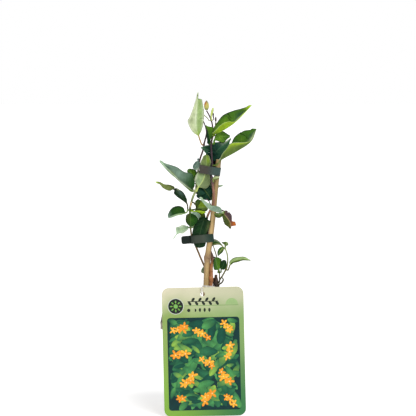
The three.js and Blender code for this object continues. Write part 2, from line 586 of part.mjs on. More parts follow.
// ---- ties: tape pulled round what it holds ----
// The outline of a tape stretched round circles [x, y, radius], as the hull of points on them.
function tapeOutline(circles, spread) {
  const points = circles.flatMap(([x, y, radius]) => Array.from({ length: 24 }, (_, i) => {
    const angle = (i * Math.PI) / 12;
    return new THREE.Vector2(
      x + (radius + spread) * Math.cos(angle),
      y + (radius + spread) * Math.sin(angle),
    );
  }));
  points.sort((a, b) => a.x - b.x || a.y - b.y);
  const turn = (a, b, c) => (b.x - a.x) * (c.y - a.y) - (b.y - a.y) * (c.x - a.x);
  const chain = (list) => {
    const kept = [];
    for (const p of list) {
      while (kept.length > 1 && turn(kept.at(-2), kept.at(-1), p) <= 1e-6) kept.pop();
      kept.push(p);
    }
    return kept.slice(0, -1);
  };
  return [...chain(points), ...chain(points.reverse())];
}

function tieGeometry({ circles, tail, middle, slope }) {
  const band = (outline2d) => new THREE.ExtrudeGeometry(
    new THREE.Shape(outline2d), { depth: TIE_HEIGHT, bevelEnabled: false, curveSegments: 1 },
  ).translate(-middle[0], -middle[1], -TIE_HEIGHT / 2);
  let solid = toSolid(band(tapeOutline(circles, TIE_THICKNESS)));
  if (tail > 0) {
    const [x, y, radius] = circles.at(-1);
    const flap = new THREE.BoxGeometry(tail, 2 * TIE_THICKNESS, TIE_HEIGHT)
      .translate(x - radius - tail / 2 - middle[0], y - middle[1], 0);
    solid = solid.add(toSolid(flap));
  }
  const bore = band(tapeOutline(circles, 0)).scale(1, 1, 1.2);
  solid = solid.subtract(toSolid(bore));
  return fromSolid(solid).rotateY(slope);
}

const ties = [
  {
    name: 'tie_band_upper', middle: [10, -13, 285.3], slope: THREE.MathUtils.degToRad(8), tail: 0,
    circles: [[18.2, -12, 3.7], [11.5, -15.4, 1.7], [-1.4, -12.4, 1.3]],
  },
  {
    name: 'tie_band_lower', middle: [0, -12, 204.8], slope: THREE.MathUtils.degToRad(-5), tail: 9.4,
    circles: [[9.4, -12, 4.2], [-10.4, -14.2, 1.9], [-11.6, -10.8, 2.1]],
  },
];

// ---- label and its strap ----
function labelGeometry() {
  const halfWidth = LABEL_WIDTH / 2;
  const halfHeight = LABEL_HEIGHT / 2;
  const shape = new THREE.Shape();
  shape.moveTo(-halfWidth + LABEL_CORNER, -halfHeight);
  const corners = [[1, -1, -0.5], [1, 1, 0], [-1, 1, 0.5], [-1, -1, 1]];
  for (const [sx, sy, start] of corners) {
    shape.absarc(
      sx * (halfWidth - LABEL_CORNER), sy * (halfHeight - LABEL_CORNER), LABEL_CORNER,
      start * Math.PI, (start + 0.5) * Math.PI, false,
    );
  }
  const hole = new THREE.Path();
  const [holeX, holeY] = LABEL_HOLE_HALF;
  hole.absellipse(0, halfHeight - LABEL_HOLE_DROP, holeX, holeY, 0, 2 * Math.PI, true, 0);
  shape.holes.push(hole);
  return new THREE.ExtrudeGeometry(shape, { depth: LABEL_THICKNESS, bevelEnabled: false, curveSegments: 6 })
    .translate(0, 0, -LABEL_THICKNESS / 2)
    .rotateX(Math.PI / 2);
}

// The strap's closed route: through the hole, over the top edge, and round the cane and the stem.
const strapRoute = [
  [-0.2, -48.2, 142.6], [-0.2, -50, 147], [0.6, -48.6, 152.8], [3.6, -40, 151.6], [9, -28, 149.6],
  [14.6, -18, 148.2], [13.8, -9.4, 147], [8, -6, 146.6], [2, -6.6, 146.2], [-0.6, -13, 145.6],
  [-1, -28, 144.6], [-0.8, -43, 142.8],
];

function strapGeometry() {
  const curve = new THREE.CatmullRomCurve3(strapRoute.map(vec), true, 'catmullrom', 0.5);
  const count = strapRoute.length * 3;
  const centres = Array.from({ length: count }, (_, i) => curve.getPoint(i / count));
  const frames = framesAlong(centres, true);
  return loft(centres.map((c, i) => ring(c, frames[i].side, frames[i].up, STRAP_RADIUS, 6)), true);
}

// ---- soil ----
function soilGeometry() {
  const half = (z) => potHalfAt(z) - POT_WALL - GAP;
  const body = loft([
    [half(POT_FLOOR + GAP) - 0.2, POT_FLOOR + GAP],
    [half(SOIL_LEVEL) - 0.2, SOIL_LEVEL],
    [half(SOIL_LEVEL) - 14, SOIL_LEVEL + SOIL_MOUND * 0.6],
    [12, SOIL_LEVEL + SOIL_MOUND],
  ].map(([h, z]) => squareRing(h, potCornerAt(h), z)));
  let soil = toSolid(body).subtract(toSolid(caneGeometry(GAP)));
  for (const root of [mainStem, oldStump]) {
    const below = root.slice(0, 3).map(([x, y, z, radius]) => [x, y, z, radius + GAP]);
    below[0][2] -= GAP;
    soil = soil.subtract(toSolid(stemGeometry(below, 2)));
  }
  return fromSolid(soil);
}

// ---- assembly ----
const vine = new THREE.Group();

function addPiece(name, geometry, material) {
  const mesh = new THREE.Mesh(geometry, material());
  mesh.name = name;
  vine.add(mesh);
  return mesh;
}

addPiece('nursery_pot', potGeometry(), taupePlastic);
addPiece('potting_soil', soilGeometry(), darkSoil);
addPiece('bamboo_cane', caneGeometry(), bamboo);
for (const [name, points] of Object.entries(stems)) {
  addPiece(name, stemGeometry(points), WOODY.includes(name) ? bark : greenShoot);
}
for (const leaf of leaves) {
  addPiece(leaf.name, leafGeometry(leaf, stems), leaf.finish);
}
for (const bud of buds) {
  const [start] = seat(bud.on, bud.index, bud.out);
  const tip = start.clone().addScaledVector(vec(bud.out).normalize(), bud.length);
  addPiece(bud.name, budGeometry(start.toArray(), tip.toArray(), bud.radius), bud.finish);
}
for (const tie of ties) {
  addPiece(tie.name, tieGeometry(tie), tieGreen).position.fromArray(tie.middle);
}
const label = addPiece('plant_label', labelGeometry(), cardGreen);
label.position.copy(LABEL_MIDDLE);
label.rotation.set(LABEL_LEAN, LABEL_ROLL, 0);
addPiece('label_strap', strapGeometry(), clearStrap);

export default vine;
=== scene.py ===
# The looks of a young honeysuckle vine in a square nursery pot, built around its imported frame.
# The vine is tied to a bamboo cane with soft tape, and a picture label hangs on it.
# Sizes are millimetres in the tables and metres in the meshes. +Z is up, and the front faces -Y.
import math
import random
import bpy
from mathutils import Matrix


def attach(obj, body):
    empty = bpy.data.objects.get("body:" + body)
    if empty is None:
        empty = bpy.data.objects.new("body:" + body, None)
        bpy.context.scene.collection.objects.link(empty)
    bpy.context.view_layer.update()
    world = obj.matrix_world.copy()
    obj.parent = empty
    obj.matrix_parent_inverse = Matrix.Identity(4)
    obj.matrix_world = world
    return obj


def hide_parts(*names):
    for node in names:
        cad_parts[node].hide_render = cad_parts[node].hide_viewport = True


bl_info = {
    "name": "Potted Honeysuckle Vine",
    "version": (1, 0, 0),
    "blender": (4, 5, 0),
    "location": "View3D > Sidebar > Vine",
    "description": "Builds a young honeysuckle vine with its pot, cane, ties and label",
    "category": "Add Mesh",
}

from typing import NamedTuple

import bmesh
import bpy
from bpy.props import FloatProperty, FloatVectorProperty, IntProperty, PointerProperty
from mathutils import Matrix, Vector, geometry, noise

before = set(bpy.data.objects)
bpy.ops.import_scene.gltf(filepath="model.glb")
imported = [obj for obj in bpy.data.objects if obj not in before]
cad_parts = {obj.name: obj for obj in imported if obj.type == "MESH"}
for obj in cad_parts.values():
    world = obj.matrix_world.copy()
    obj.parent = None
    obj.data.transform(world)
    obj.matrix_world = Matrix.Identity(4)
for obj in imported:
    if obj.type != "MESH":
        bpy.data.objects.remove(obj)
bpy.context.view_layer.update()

MM = 0.001
TAU = 2 * math.pi


def lerp(a, b, t):
    return a + (b - a) * t


def knot_value(knots, place):
    """A smooth curve through (place, value) knots, held at its ends."""
    if place <= knots[0][0]:
        return knots[0][1]
    if place >= knots[-1][0]:
        return knots[-1][1]
    index = max(i for i, knot in enumerate(knots) if knot[0] <= place)
    (start, low), (end, high) = knots[index], knots[index + 1]
    slopes = []
    for i in (index, index + 1):
        before, after = knots[max(i - 1, 0)], knots[min(i + 1, len(knots) - 1)]
        slopes.append((after[1] - before[1]) / (after[0] - before[0]) * (end - start))
    t = (place - start) / (end - start)
    square, cube = t * t, t * t * t
    bend = slopes[0] * (cube - 2 * square + t) + slopes[1] * (cube - square)
    return low + (high - low) * (3 * square - 2 * cube) + bend


def smoothstep(low, high, value):
    t = min(max((value - low) / (high - low), 0.0), 1.0)
    return t * t * (3 - 2 * t)


def bell(distance, width):
    return math.exp(-((distance / width) ** 2))


def ripple(point, scale):
    """Smooth noise from -1 to 1 at a point in millimetres, with lumps about scale across."""
    return noise.noise(Vector(point) / scale)


def unit(angle):
    """A flat vector of length one, at an angle from +X."""
    return Vector((math.cos(angle), math.sin(angle)))


def turns(count):
    """Even steps round a full turn."""
    return [TAU * i / count for i in range(count)]


def pair(value):
    """A value for the left and one for the right half, from one for both or from two."""
    return value if isinstance(value, tuple) else (value, value)


def linear(red, green, blue):
    """A colour given as 0 to 255 on a screen, as Blender's linear values."""
    shares = (c / 255 for c in (red, green, blue))
    return tuple(c / 12.92 if c <= 0.04045 else ((c + 0.055) / 1.055) ** 2.4 for c in shares)


# ---- colours ----
# Colours as 0 to 255 on a screen. First those of the plant.
SCREEN_COLOURS = {
    "cream": (228, 232, 208), "pale_sage": (198, 210, 165), "sage": (150, 176, 112),
    "pale_lime": (190, 205, 110), "lime": (172, 206, 26), "lime_deep": (136, 170, 28),
    "moss": (88, 112, 44), "fresh": (84, 130, 22), "spring": (112, 160, 22), "mid": (52, 98, 10),
    "forest": (24, 66, 16), "deep": (14, 46, 22), "navy": (4, 20, 22), "rim_dark": (10, 28, 10),
    "blue_green": (18, 60, 44), "olive": (118, 132, 74), "olive_deep": (62, 76, 24),
    "olive_grey": (112, 126, 88), "sage_grey": (140, 162, 122), "jade": (52, 98, 64),
    "bud_gold": (185, 178, 88), "mint": (172, 198, 166), "grey_mint": (120, 146, 128),
    "teal_grey": (80, 106, 98), "purple_brown": (84, 62, 66), "plum": (54, 36, 44),
    "maroon": (74, 40, 42), "pink_brown": (142, 98, 80), "orange_bark": (178, 116, 70),
    "brown_bark": (98, 74, 58), "black_brown": (44, 34, 30), "tan": (176, 144, 92),
    "rust": (190, 100, 28), "straw": (206, 196, 142), "stalk_olive": (112, 108, 54),
    "stalk_dark": (70, 66, 34), "stem_brown": (116, 88, 48), "stalk_pale": (172, 180, 128),
    # The soil, the cane and the tie tape.
    "peat": (74, 52, 38), "peat_dark": (40, 28, 22), "perlite": (214, 208, 194),
    "bark_chip": (112, 76, 48), "cane_tan": (160, 128, 80), "cane_straw": (194, 164, 110),
    "cane_shade": (128, 98, 56), "cane_green": (120, 106, 60), "cane_node": (138, 108, 78),
    "cane_cut": (200, 180, 130), "cane_hollow": (70, 52, 34), "tape_grey": (66, 63, 56),
    "tape_moss": (54, 62, 52), "tape_green": (56, 76, 70), "tape_dark": (6, 26, 18),
    "tape_deep": (28, 52, 42), "tape_end": (34, 52, 44),
    # The label's print.
    "print_night": (10, 50, 50), "print_ring": (196, 204, 190), "print_leaf_light": (120, 176, 88),
    "print_rule": (110, 150, 80), "print_faint": (150, 178, 120), "print_deep": (16, 74, 58),
    "print_teal": (45, 110, 70), "print_green": (80, 150, 80), "print_lime": (140, 180, 70),
    "print_orange": (244, 160, 44), "print_amber": (255, 186, 60), "print_flame": (236, 140, 34),
    "print_peach": (250, 205, 150), "print_line": (34, 40, 36), "print_ink": (34, 44, 36),
}
SWATCHES = {name: linear(*screen) for name, screen in SCREEN_COLOURS.items()}


def swatch(name):
    return Vector(SWATCHES[name])


def tone_between(names, share):
    """The colour at a share from 0 to 1 along a list of swatch names, or one name."""
    place = min(max(share, 0.0), 1.0) * (len(names) - 1)
    index = min(int(place), max(len(names) - 2, 0))
    following = min(index + 1, len(names) - 1)
    return swatch(names[index]).lerp(swatch(names[following]), place - index)


# ---- materials ----
class Wire:
    """One value in a shader. Arithmetic on it adds Math nodes."""

    def __init__(self, paint, socket):
        self.paint = paint
        self.socket = socket

    def math(self, operation, *others):
        values = dict(enumerate((self, *others)))
        return self.paint.node("Math", {"operation": operation}, values)

    def __add__(self, other):
        return self.math("ADD", other)

    def __sub__(self, other):
        return self.math("SUBTRACT", other)

    def __mul__(self, other):
        return self.math("MULTIPLY", other)

    def __rsub__(self, other):
        return self.paint.node("Math", {"operation": "SUBTRACT"}, {0: other, 1: self})

    __radd__ = __add__
    __rmul__ = __mul__


CONSTANT_SOCKETS = {
    "gloss": "Specular IOR Level",
    "clear": "Transmission Weight",
    "glow": "Emission Color",
    "glow_strength": "Emission Strength",
}


class Paint:
    """A material in the making, with one method that adds any node to it."""

    def __init__(self, name):
        self.material = bpy.data.materials.new(name)
        self.material.use_nodes = True
        self.tree = self.material.node_tree
        self.tree.nodes.clear()
        self.here = self.node("TexCoord", output="Object")

    def node(self, kind, settings=None, values=None, output=0):
        """Adds a node. Its settings come first, then its sockets' values or links."""
        made = self.tree.nodes.new("ShaderNode" + kind)
        for key, value in (settings or {}).items():
            setattr(made, key, value)
        for key, value in (values or {}).items():
            if isinstance(value, Wire):
                self.tree.links.new(value.socket, made.inputs[key])
            else:
                made.inputs[key].default_value = value
        return Wire(self, made.outputs[output])

    def attribute(self, name, output):
        return self.node("Attribute", {"attribute_name": name}, output=output)

    def split(self, vector):
        """The three numbers of a vector."""
        x = self.node("SeparateXYZ", values={0: vector})
        return [Wire(self, x.socket.node.outputs[i]) for i in range(3)]

    def stretch(self, vector, scale):
        return self.node("VectorMath", {"operation": "MULTIPLY"}, {0: vector, 1: scale})

    def dim(self, colour, share):
        """A colour made darker or lighter by a number."""
        return self.node("VectorMath", {"operation": "SCALE"}, {0: colour, "Scale": share})

    def mix(self, share, first, second):
        first, second = [(*c, 1.0) if isinstance(c, tuple) else c for c in (first, second)]
        return self.node("Mix", {"data_type": "RGBA"}, {0: share, 6: first, 7: second}, 2)

    def smooth(self, value, low, high):
        values = {"Value": value, "From Min": low, "From Max": high}
        return self.node("MapRange", {"interpolation_type": "SMOOTHSTEP"}, values)

    def grain(self, scale, detail, at=None, rough=0.5):
        values = {"Vector": at or self.here, "Scale": scale, "Detail": detail, "Roughness": rough}
        return self.node("TexNoise", values=values)

    def cells(self, scale, feature):
        return self.node("TexVoronoi", {"feature": feature}, {"Vector": self.here, "Scale": scale})

    def bump(self, height, depth, strength):
        """A normal from a height of 0 to 1 that stands for a depth in millimetres."""
        values = {"Height": height, "Distance": depth * MM, "Strength": strength}
        return self.node("Bump", values=values)

    def finish(self, colour, roughness, normal=None, **constants):
        values = {"Base Color": colour, "Roughness": roughness}
        if normal is not None:
            values["Normal"] = normal
        values.update({CONSTANT_SOCKETS[key]: value for key, value in constants.items()})
        surface = self.node("BsdfPrincipled", values=values)
        out = self.tree.nodes.new("ShaderNodeOutputMaterial")
        self.tree.links.new(surface.socket, out.inputs["Surface"])
        return self.material


# How each kind of leaf is finished: rough: roughness above and below; vein and pale: how strong and how pale
# its veins are; mottle: how strong its mottling is; rim, band and edge: how strong its margin is, where it
# fades in millimetres from the edge, and its colour; gloss: its specular level.
LEAF_KINDS = {
    "dark": dict(rough=(0.4, 0.62), vein=0.38, pale=0.12, mottle=0.85, rim=0.6, band=(0.15, 1.0),
                 edge="rim_dark", gloss=0.08),
    "fresh": dict(rough=(0.42, 0.6), vein=0.35, pale=0.3, mottle=0.75, rim=0.85, band=(0.3, 1.6),
                  edge="rim_dark", gloss=0.15),
    "mint": dict(rough=(0.5, 0.7), vein=0.35, pale=0.35, mottle=0.6, rim=0.45, band=(0.15, 1.0),
                 edge="cream", gloss=0.12),
    "purple": dict(rough=(0.55, 0.7), vein=0.4, pale=0.25, mottle=0.6, rim=0.6, band=(0.15, 1.0),
                   edge="plum", gloss=0.1),
}
LATERALS = 6.0                      # pairs of side veins on a leaf
LATERAL_SWEEP = 1.3                 # how far a side vein runs towards the tip, in spacings
MARGIN_MIN_WIDTH = 5.0              # a half narrower than this has a narrower margin


def leaf_paint(kind, upper):
    look = LEAF_KINDS[kind]
    paint = Paint(f"leaf_{kind}_{'upper' if upper else 'under'}")
    tone = paint.attribute("tone", "Color")
    across, along, width = paint.split(paint.attribute("place", "Vector"))
    share = across.math("ABSOLUTE")
    on_blade = paint.smooth(along, 0.0, 0.06)
    rib = (1 - paint.smooth(share * width, 0.2, 0.75)) * on_blade
    swept = along * LATERALS - share * LATERAL_SWEEP
    from_line = 0.5 - (swept.math("FRACT") - 0.5).math("ABSOLUTE")
    lateral = (1 - paint.smooth(from_line, 0.01, 0.1)) * on_blade * (1 - share * 0.7)
    cell = paint.cells(620.0, "DISTANCE_TO_EDGE")
    net = (1 - paint.smooth(cell, 0.0, 0.16)) * on_blade
    veins = rib.math("MAXIMUM", (lateral * 0.6).math("MAXIMUM", net * 0.22))
    blotch = paint.grain(170.0, 4.0)
    speck = paint.grain(1500.0, 2.0)
    shade = 0.93 + (blotch - 0.5) * look["mottle"] * 1.3 + (speck - 0.5) * 0.3
    ground = paint.dim(tone, shade)
    light = paint.mix(look["pale"], paint.dim(tone, 1.7), SWATCHES["pale_sage"])
    veined = paint.mix(veins * look["vein"], ground, light)
    from_edge = (1 - share) * width.math("MAXIMUM", MARGIN_MIN_WIDTH)
    margin = (1 - paint.smooth(from_edge, *look["band"])) * on_blade
    edge = look["edge"] if upper else "pale_sage"
    colour = paint.mix(margin * look["rim"] * (1.0 if upper else 0.4), veined, SWATCHES[edge])
    rough = look["rough"][0 if upper else 1]
    roughness = (blotch - 0.5) * 0.25 + (speck - 0.5) * 0.12 + rough
    relief = veins * (-0.5 if upper else 0.5) + speck * 0.16 + blotch * 0.3
    normal = paint.bump(relief, 0.35, 0.6)
    return paint.finish(colour, roughness, normal, gloss=look["gloss"])


def stem_paint(name, rough, streak):
    """Skin or bark: its own colour along the stem, with fine streaks that follow it."""
    paint = Paint(name)
    tone = paint.attribute("tone", "Color")
    skin = paint.stretch(paint.attribute("place", "Vector"), (1.0, 1.0, 0.1))
    fibres = paint.grain(1.6, 5.0, at=skin, rough=0.65)
    patches = paint.grain(120.0, 3.0)
    pores = 1 - paint.smooth(paint.cells(700.0, "F1"), 0.08, 0.2)
    shade = 1 + (fibres - 0.5) * streak * 2 + (patches - 0.5) * 0.7 - pores * 0.25
    colour = paint.dim(tone, shade)
    roughness = (fibres - 0.5) * 0.3 + rough
    normal = paint.bump(fibres + patches * 0.5, 0.3 * streak + 0.1, 0.7)
    return paint.finish(colour, roughness, normal)


def bamboo_paint():
    paint = Paint("weathered_bamboo")
    tone = paint.attribute("tone", "Color")
    skin = paint.stretch(paint.attribute("place", "Vector"), (1.0, 1.0, 0.035))
    streaks = paint.grain(2.6, 5.0, at=skin, rough=0.6)
    bands = paint.grain(0.55, 2.0, at=skin)
    patches = paint.grain(60.0, 4.0)
    specks = 1 - paint.smooth(paint.cells(330.0, "F1"), 0.05, 0.13)
    shade = 1 + (streaks - 0.5) * 0.5 + (bands - 0.5) * 0.5 + (patches - 0.5) * 0.45
    aged = paint.mix(paint.smooth(patches, 0.5, 0.75) * 0.3, paint.dim(tone, shade), SWATCHES["brown_bark"])
    colour = paint.mix(specks * 0.6, aged, SWATCHES["black_brown"])
    roughness = (streaks - 0.5) * 0.2 + 0.48
    normal = paint.bump(streaks + patches * 0.6 - specks * 0.4, 0.22, 0.6)
    return paint.finish(colour, roughness, normal)


def soil_paint():
    paint = Paint("damp_peat")
    tone = paint.attribute("tone", "Color")
    crumbs = paint.grain(420.0, 6.0, rough=0.7)
    fibres = paint.grain(160.0, 5.0, at=paint.stretch(paint.here, (1.0, 0.25, 1.0)))
    shade = 0.35 + crumbs * 1.1 + (fibres - 0.5) * 0.8
    colour = paint.dim(tone, shade)
    normal = paint.bump(crumbs + fibres * 0.5, 1.2, 0.9)
    return paint.finish(colour, 0.85 + crumbs * 0.12, normal)


def pot_paint(base):
    paint = Paint("taupe_pot_plastic")
    flow = paint.grain(35.0, 3.0, at=paint.stretch(paint.here, (1.0, 1.0, 0.3)))
    dust = paint.grain(260.0, 5.0, rough=0.65)
    scratches = paint.grain(900.0, 2.0, at=paint.stretch(paint.here, (0.15, 0.15, 1.0)))
    scuffs = paint.smooth(scratches, 0.62, 0.75)
    shade = 0.9 + (flow - 0.5) * 0.25 + (dust - 0.5) * 0.22
    height = paint.split(paint.here)[2]
    splash = (1 - paint.smooth(height, 0.0, 0.02)) * paint.smooth(dust, 0.4, 0.65)
    dusty = paint.mix(splash * 0.55, paint.dim(base, shade), SWATCHES["brown_bark"])
    colour = paint.mix(scuffs * 0.25, dusty, SWATCHES["cream"])
    normal = paint.bump(dust + scuffs * 0.4, 0.06, 0.5)
    return paint.finish(colour, 0.46 + (dust - 0.5) * 0.25, normal)


def tape_paint():
    paint = Paint("tie_tape_plastic")
    tone = paint.attribute("tone", "Color")
    skin = paint.stretch(paint.attribute("place", "Vector"), (0.25, 2.2, 1.0))
    drawn = paint.grain(0.5, 3.0, at=skin)
    cloud = paint.grain(150.0, 2.0)
    shade = 1 + (drawn - 0.5) * 0.3 + (cloud - 0.5) * 0.35
    normal = paint.bump(drawn + cloud, 0.15, 0.5)
    return paint.finish(paint.dim(tone, shade), 0.42 + (drawn - 0.5) * 0.25, normal, gloss=0.25)


def card_paint(corners):
    """The label's printed ground: a soft blend of three rows of two colours, from the card's places."""
    paint = Paint("label_card_print")
    right, up, front = paint.split(paint.attribute("place", "Vector"))
    cloud = paint.grain(28.0, 2.0)
    sway = (cloud - 0.5) * 0.16
    share_right = paint.smooth(right + sway, 0.02, 0.98)
    rows = [paint.mix(share_right, corners[f"{row}_left"], corners[f"{row}_right"])
            for row in ("bottom", "middle", "top")]
    lower = paint.mix(paint.smooth(up + sway, 0.05, 0.74), rows[0], rows[1])
    ground = paint.mix(paint.smooth(up + sway, 0.74, 1.0), lower, rows[2])
    printed = paint.dim(ground, 1 + (cloud - 0.5) * 0.2)
    colour = paint.mix(front, corners["back"], printed)
    fine = paint.grain(700.0, 2.0)
    normal = paint.bump(fine, 0.03, 0.4)
    return paint.finish(colour, 0.34 + (fine - 0.5) * 0.1, normal)


def ink_paint(name, grain_share):
    """Printed colour on the label, a little uneven."""
    paint = Paint(name)
    tone = paint.attribute("tone", "Color")
    fine = paint.grain(900.0, 2.0)
    cloud = paint.grain(140.0, 3.0)
    shade = 1 + (fine - 0.5) * grain_share + (cloud - 0.5) * grain_share * 1.5
    return paint.finish(paint.dim(tone, shade), 0.36 + (fine - 0.5) * 0.1, gloss=0.2)


def strap_paint(base):
    paint = Paint("clear_strap_plastic")
    cloud = paint.grain(300.0, 2.0)
    colour = paint.dim(base, 0.92 + cloud * 0.16)
    normal = paint.bump(cloud, 0.1, 0.5)
    return paint.finish(colour, 0.2 + cloud * 0.12, normal, clear=0.35)


def studio_paint(base):
    paint = Paint("studio_floor")
    cloud = paint.grain(3.0, 2.0)
    colour = paint.dim(base, 0.99 + (cloud - 0.5) * 0.01)
    return paint.finish(colour, 0.9 + (cloud - 0.5) * 0.02, glow=(1.0, 1.0, 1.0, 1.0), glow_strength=0.5)


# ---- meshes ----
def add_object(name, data):
    """Puts a new object in the scene."""
    made = bpy.data.objects.new(name, data)
    bpy.context.scene.collection.objects.link(made)
    return made


class Form:
    """A mesh in the making: points in millimetres, each with a tone and a place on its surface."""

    def __init__(self):
        self.points, self.tones, self.places = [], [], []
        self.faces, self.slots, self.flat = [], [], set()

    def add(self, point, tone=(1.0, 1.0, 1.0), place=(0.0, 0.0, 0.0)):
        self.points.append(Vector(point))
        self.tones.append(tuple(tone))
        self.places.append(tuple(place))
        return len(self.points) - 1

    def face(self, corners, slot=0, flat=False):
        if flat:
            self.flat.add(len(self.faces))
        self.faces.append(corners)
        self.slots.append(slot)

    def loft(self, rings, loop=False, slot_of=lambda j: 0, caps=True):
        """Joins rings of added points into a tube, closed by caps or back on itself."""
        count = len(rings[0])
        spans = len(rings) if loop else len(rings) - 1
        for i in range(spans):
            here, following = rings[i], rings[(i + 1) % len(rings)]
            for j in range(count):
                k = (j + 1) % count
                self.face((here[j], here[k], following[k], following[j]), slot_of(j))
        if caps and not loop:
            self.face(tuple(reversed(rings[0])), slot_of(0))
            self.face(tuple(rings[-1]), slot_of(0))

    def blob(self, centre, radii, tone, seed, rough, rings=5, sides=8):
        """An uneven pebble."""
        made = []
        centre = Vector(centre)
        pole = Vector((0, 0, radii[2]))
        for i in range(1, rings):
            polar = math.pi * i / rings
            ring = []
            for turn in turns(sides):
                level = math.sin(polar)
                out = Vector((math.cos(turn) * level, math.sin(turn) * level, math.cos(polar)))
                size = 1 + rough * noise.noise(out * 1.3 + Vector((seed, seed, seed)))
                ring.append(self.add(centre + Vector([o * r * size for o, r in zip(out, radii)]), tone))
            made.append(ring)
        first, last = self.add(centre + pole, tone), self.add(centre - pole, tone)
        self.loft(made, caps=False)
        for j in range(sides):
            k = (j + 1) % sides
            self.face((made[0][k], made[0][j], first))
            self.face((made[-1][j], made[-1][k], last))

    def build(self, name, materials, slot, node):
        """Makes the object, which stands for a CAD node and rides with the plant."""
        mesh = bpy.data.meshes.new(name)
        mesh.from_pydata([p * MM for p in self.points], [], self.faces)
        tones = mesh.attributes.new("tone", "FLOAT_COLOR", "POINT")
        tones.data.foreach_set("color", [c for tone in self.tones for c in (*tone, 1.0)])
        places = mesh.attributes.new("place", "FLOAT_VECTOR", "POINT")
        places.data.foreach_set("vector", [c for place in self.places for c in place])
        for material in materials:
            mesh.materials.append(material)
        for polygon, slot_index in zip(mesh.polygons, self.slots):
            polygon.material_index = slot_index
            polygon.use_smooth = polygon.index not in self.flat
        shell = bmesh.new()
        shell.from_mesh(mesh)
        bmesh.ops.recalc_face_normals(shell, faces=shell.faces)
        shell.to_mesh(mesh)
        shell.free()
        piece = add_object(name, mesh)
        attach(piece, "root")
        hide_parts(node)
        return piece


def grid_border(rows, columns):
    """The places round the edge of a grid, from 0, 0 to rows, columns."""
    border = [(0, j) for j in range(columns)] + [(i, columns) for i in range(rows)]
    return border + [(rows, j) for j in range(columns, 0, -1)] + [(i, 0) for i in range(rows, 0, -1)]


def curve_point(points, share):
    """A point on the smooth curve through points, at a share of its spans."""
    place = min(max(share, 0.0), 1.0) * (len(points) - 1)
    index = min(int(place), len(points) - 2)
    t = place - index
    start, end = points[index], points[index + 1]
    before = points[index - 1] if index > 0 else 2 * start - end
    after = points[index + 2] if index + 2 < len(points) else 2 * end - start
    lead, trail = (end - before) / 2, (after - start) / 2
    square, cube = t * t, t * t * t
    return (
        start * (2 * cube - 3 * square + 1)
        + lead * (cube - 2 * square + t)
        + end * (3 * square - 2 * cube)
        + trail * (cube - square)
    )


def frames_along(points, loop=False):
    """A tangent, a side and an up direction at each point, turned as little as possible."""
    last = len(points) - 1
    tangents = []
    for i in range(len(points)):
        before = points[i - 1] if i > 0 or loop else points[0]
        after = points[(i + 1) % len(points)] if i < last or loop else points[last]
        tangents.append((after - before).normalized())
    side = Vector((0, -1, 0)).cross(tangents[0])
    if side.length < 0.1:
        side = Vector((1, 0, 0))
    made = []
    for tangent in tangents:
        side = (side - tangent * side.dot(tangent)).normalized()
        made.append((tangent, side, tangent.cross(side)))
    return made


# ---- pot and soil ----
POT_HEIGHT = 110.0
POT_BASE_HALF = 35.5
POT_NECK_HALF = 45.5
POT_RIM_HALF = 48.7
POT_RIM_HEIGHT = 9.0
POT_WALL = 1.5
POT_FLOOR = 2.0
POT_CORNER = 9.0
DRAIN_RADIUS = 5.0
DRAIN_OFFSET = 24.0
SOIL_LEVEL = 96.0
SOIL_MOUND = 3.0
SOIL_GAP = 0.3
RIM_BOTTOM = POT_HEIGHT - POT_RIM_HEIGHT


def pot_half_at(height):
    return lerp(POT_BASE_HALF, POT_NECK_HALF, height / POT_HEIGHT)


def pot_corner_at(half):
    return POT_CORNER * (half / POT_RIM_HALF)


def square_ring(half, corner, height, inset, per_corner=8, per_side=16):
    """A square with round corners. Its sides dip inwards by inset between their ends."""
    points = []
    for quarter in range(4):
        turn = Matrix.Rotation(quarter * math.pi / 2, 3, "Z")
        centre = Vector((half - corner, half - corner, 0))
        for i in range(per_corner):
            angle = i / per_corner * math.pi / 2
            arc = unit(angle).to_3d() * corner
            points.append(turn @ (centre + arc) + Vector((0, 0, height)))
        for i in range(per_side):
            share = i / per_side
            along = lerp(half - corner, corner - half, share)
            dip = inset * smoothstep(0.06, 0.12, share) * smoothstep(0.06, 0.12, 1 - share)
            points.append(turn @ Vector((along, half - dip, height)))
    return points


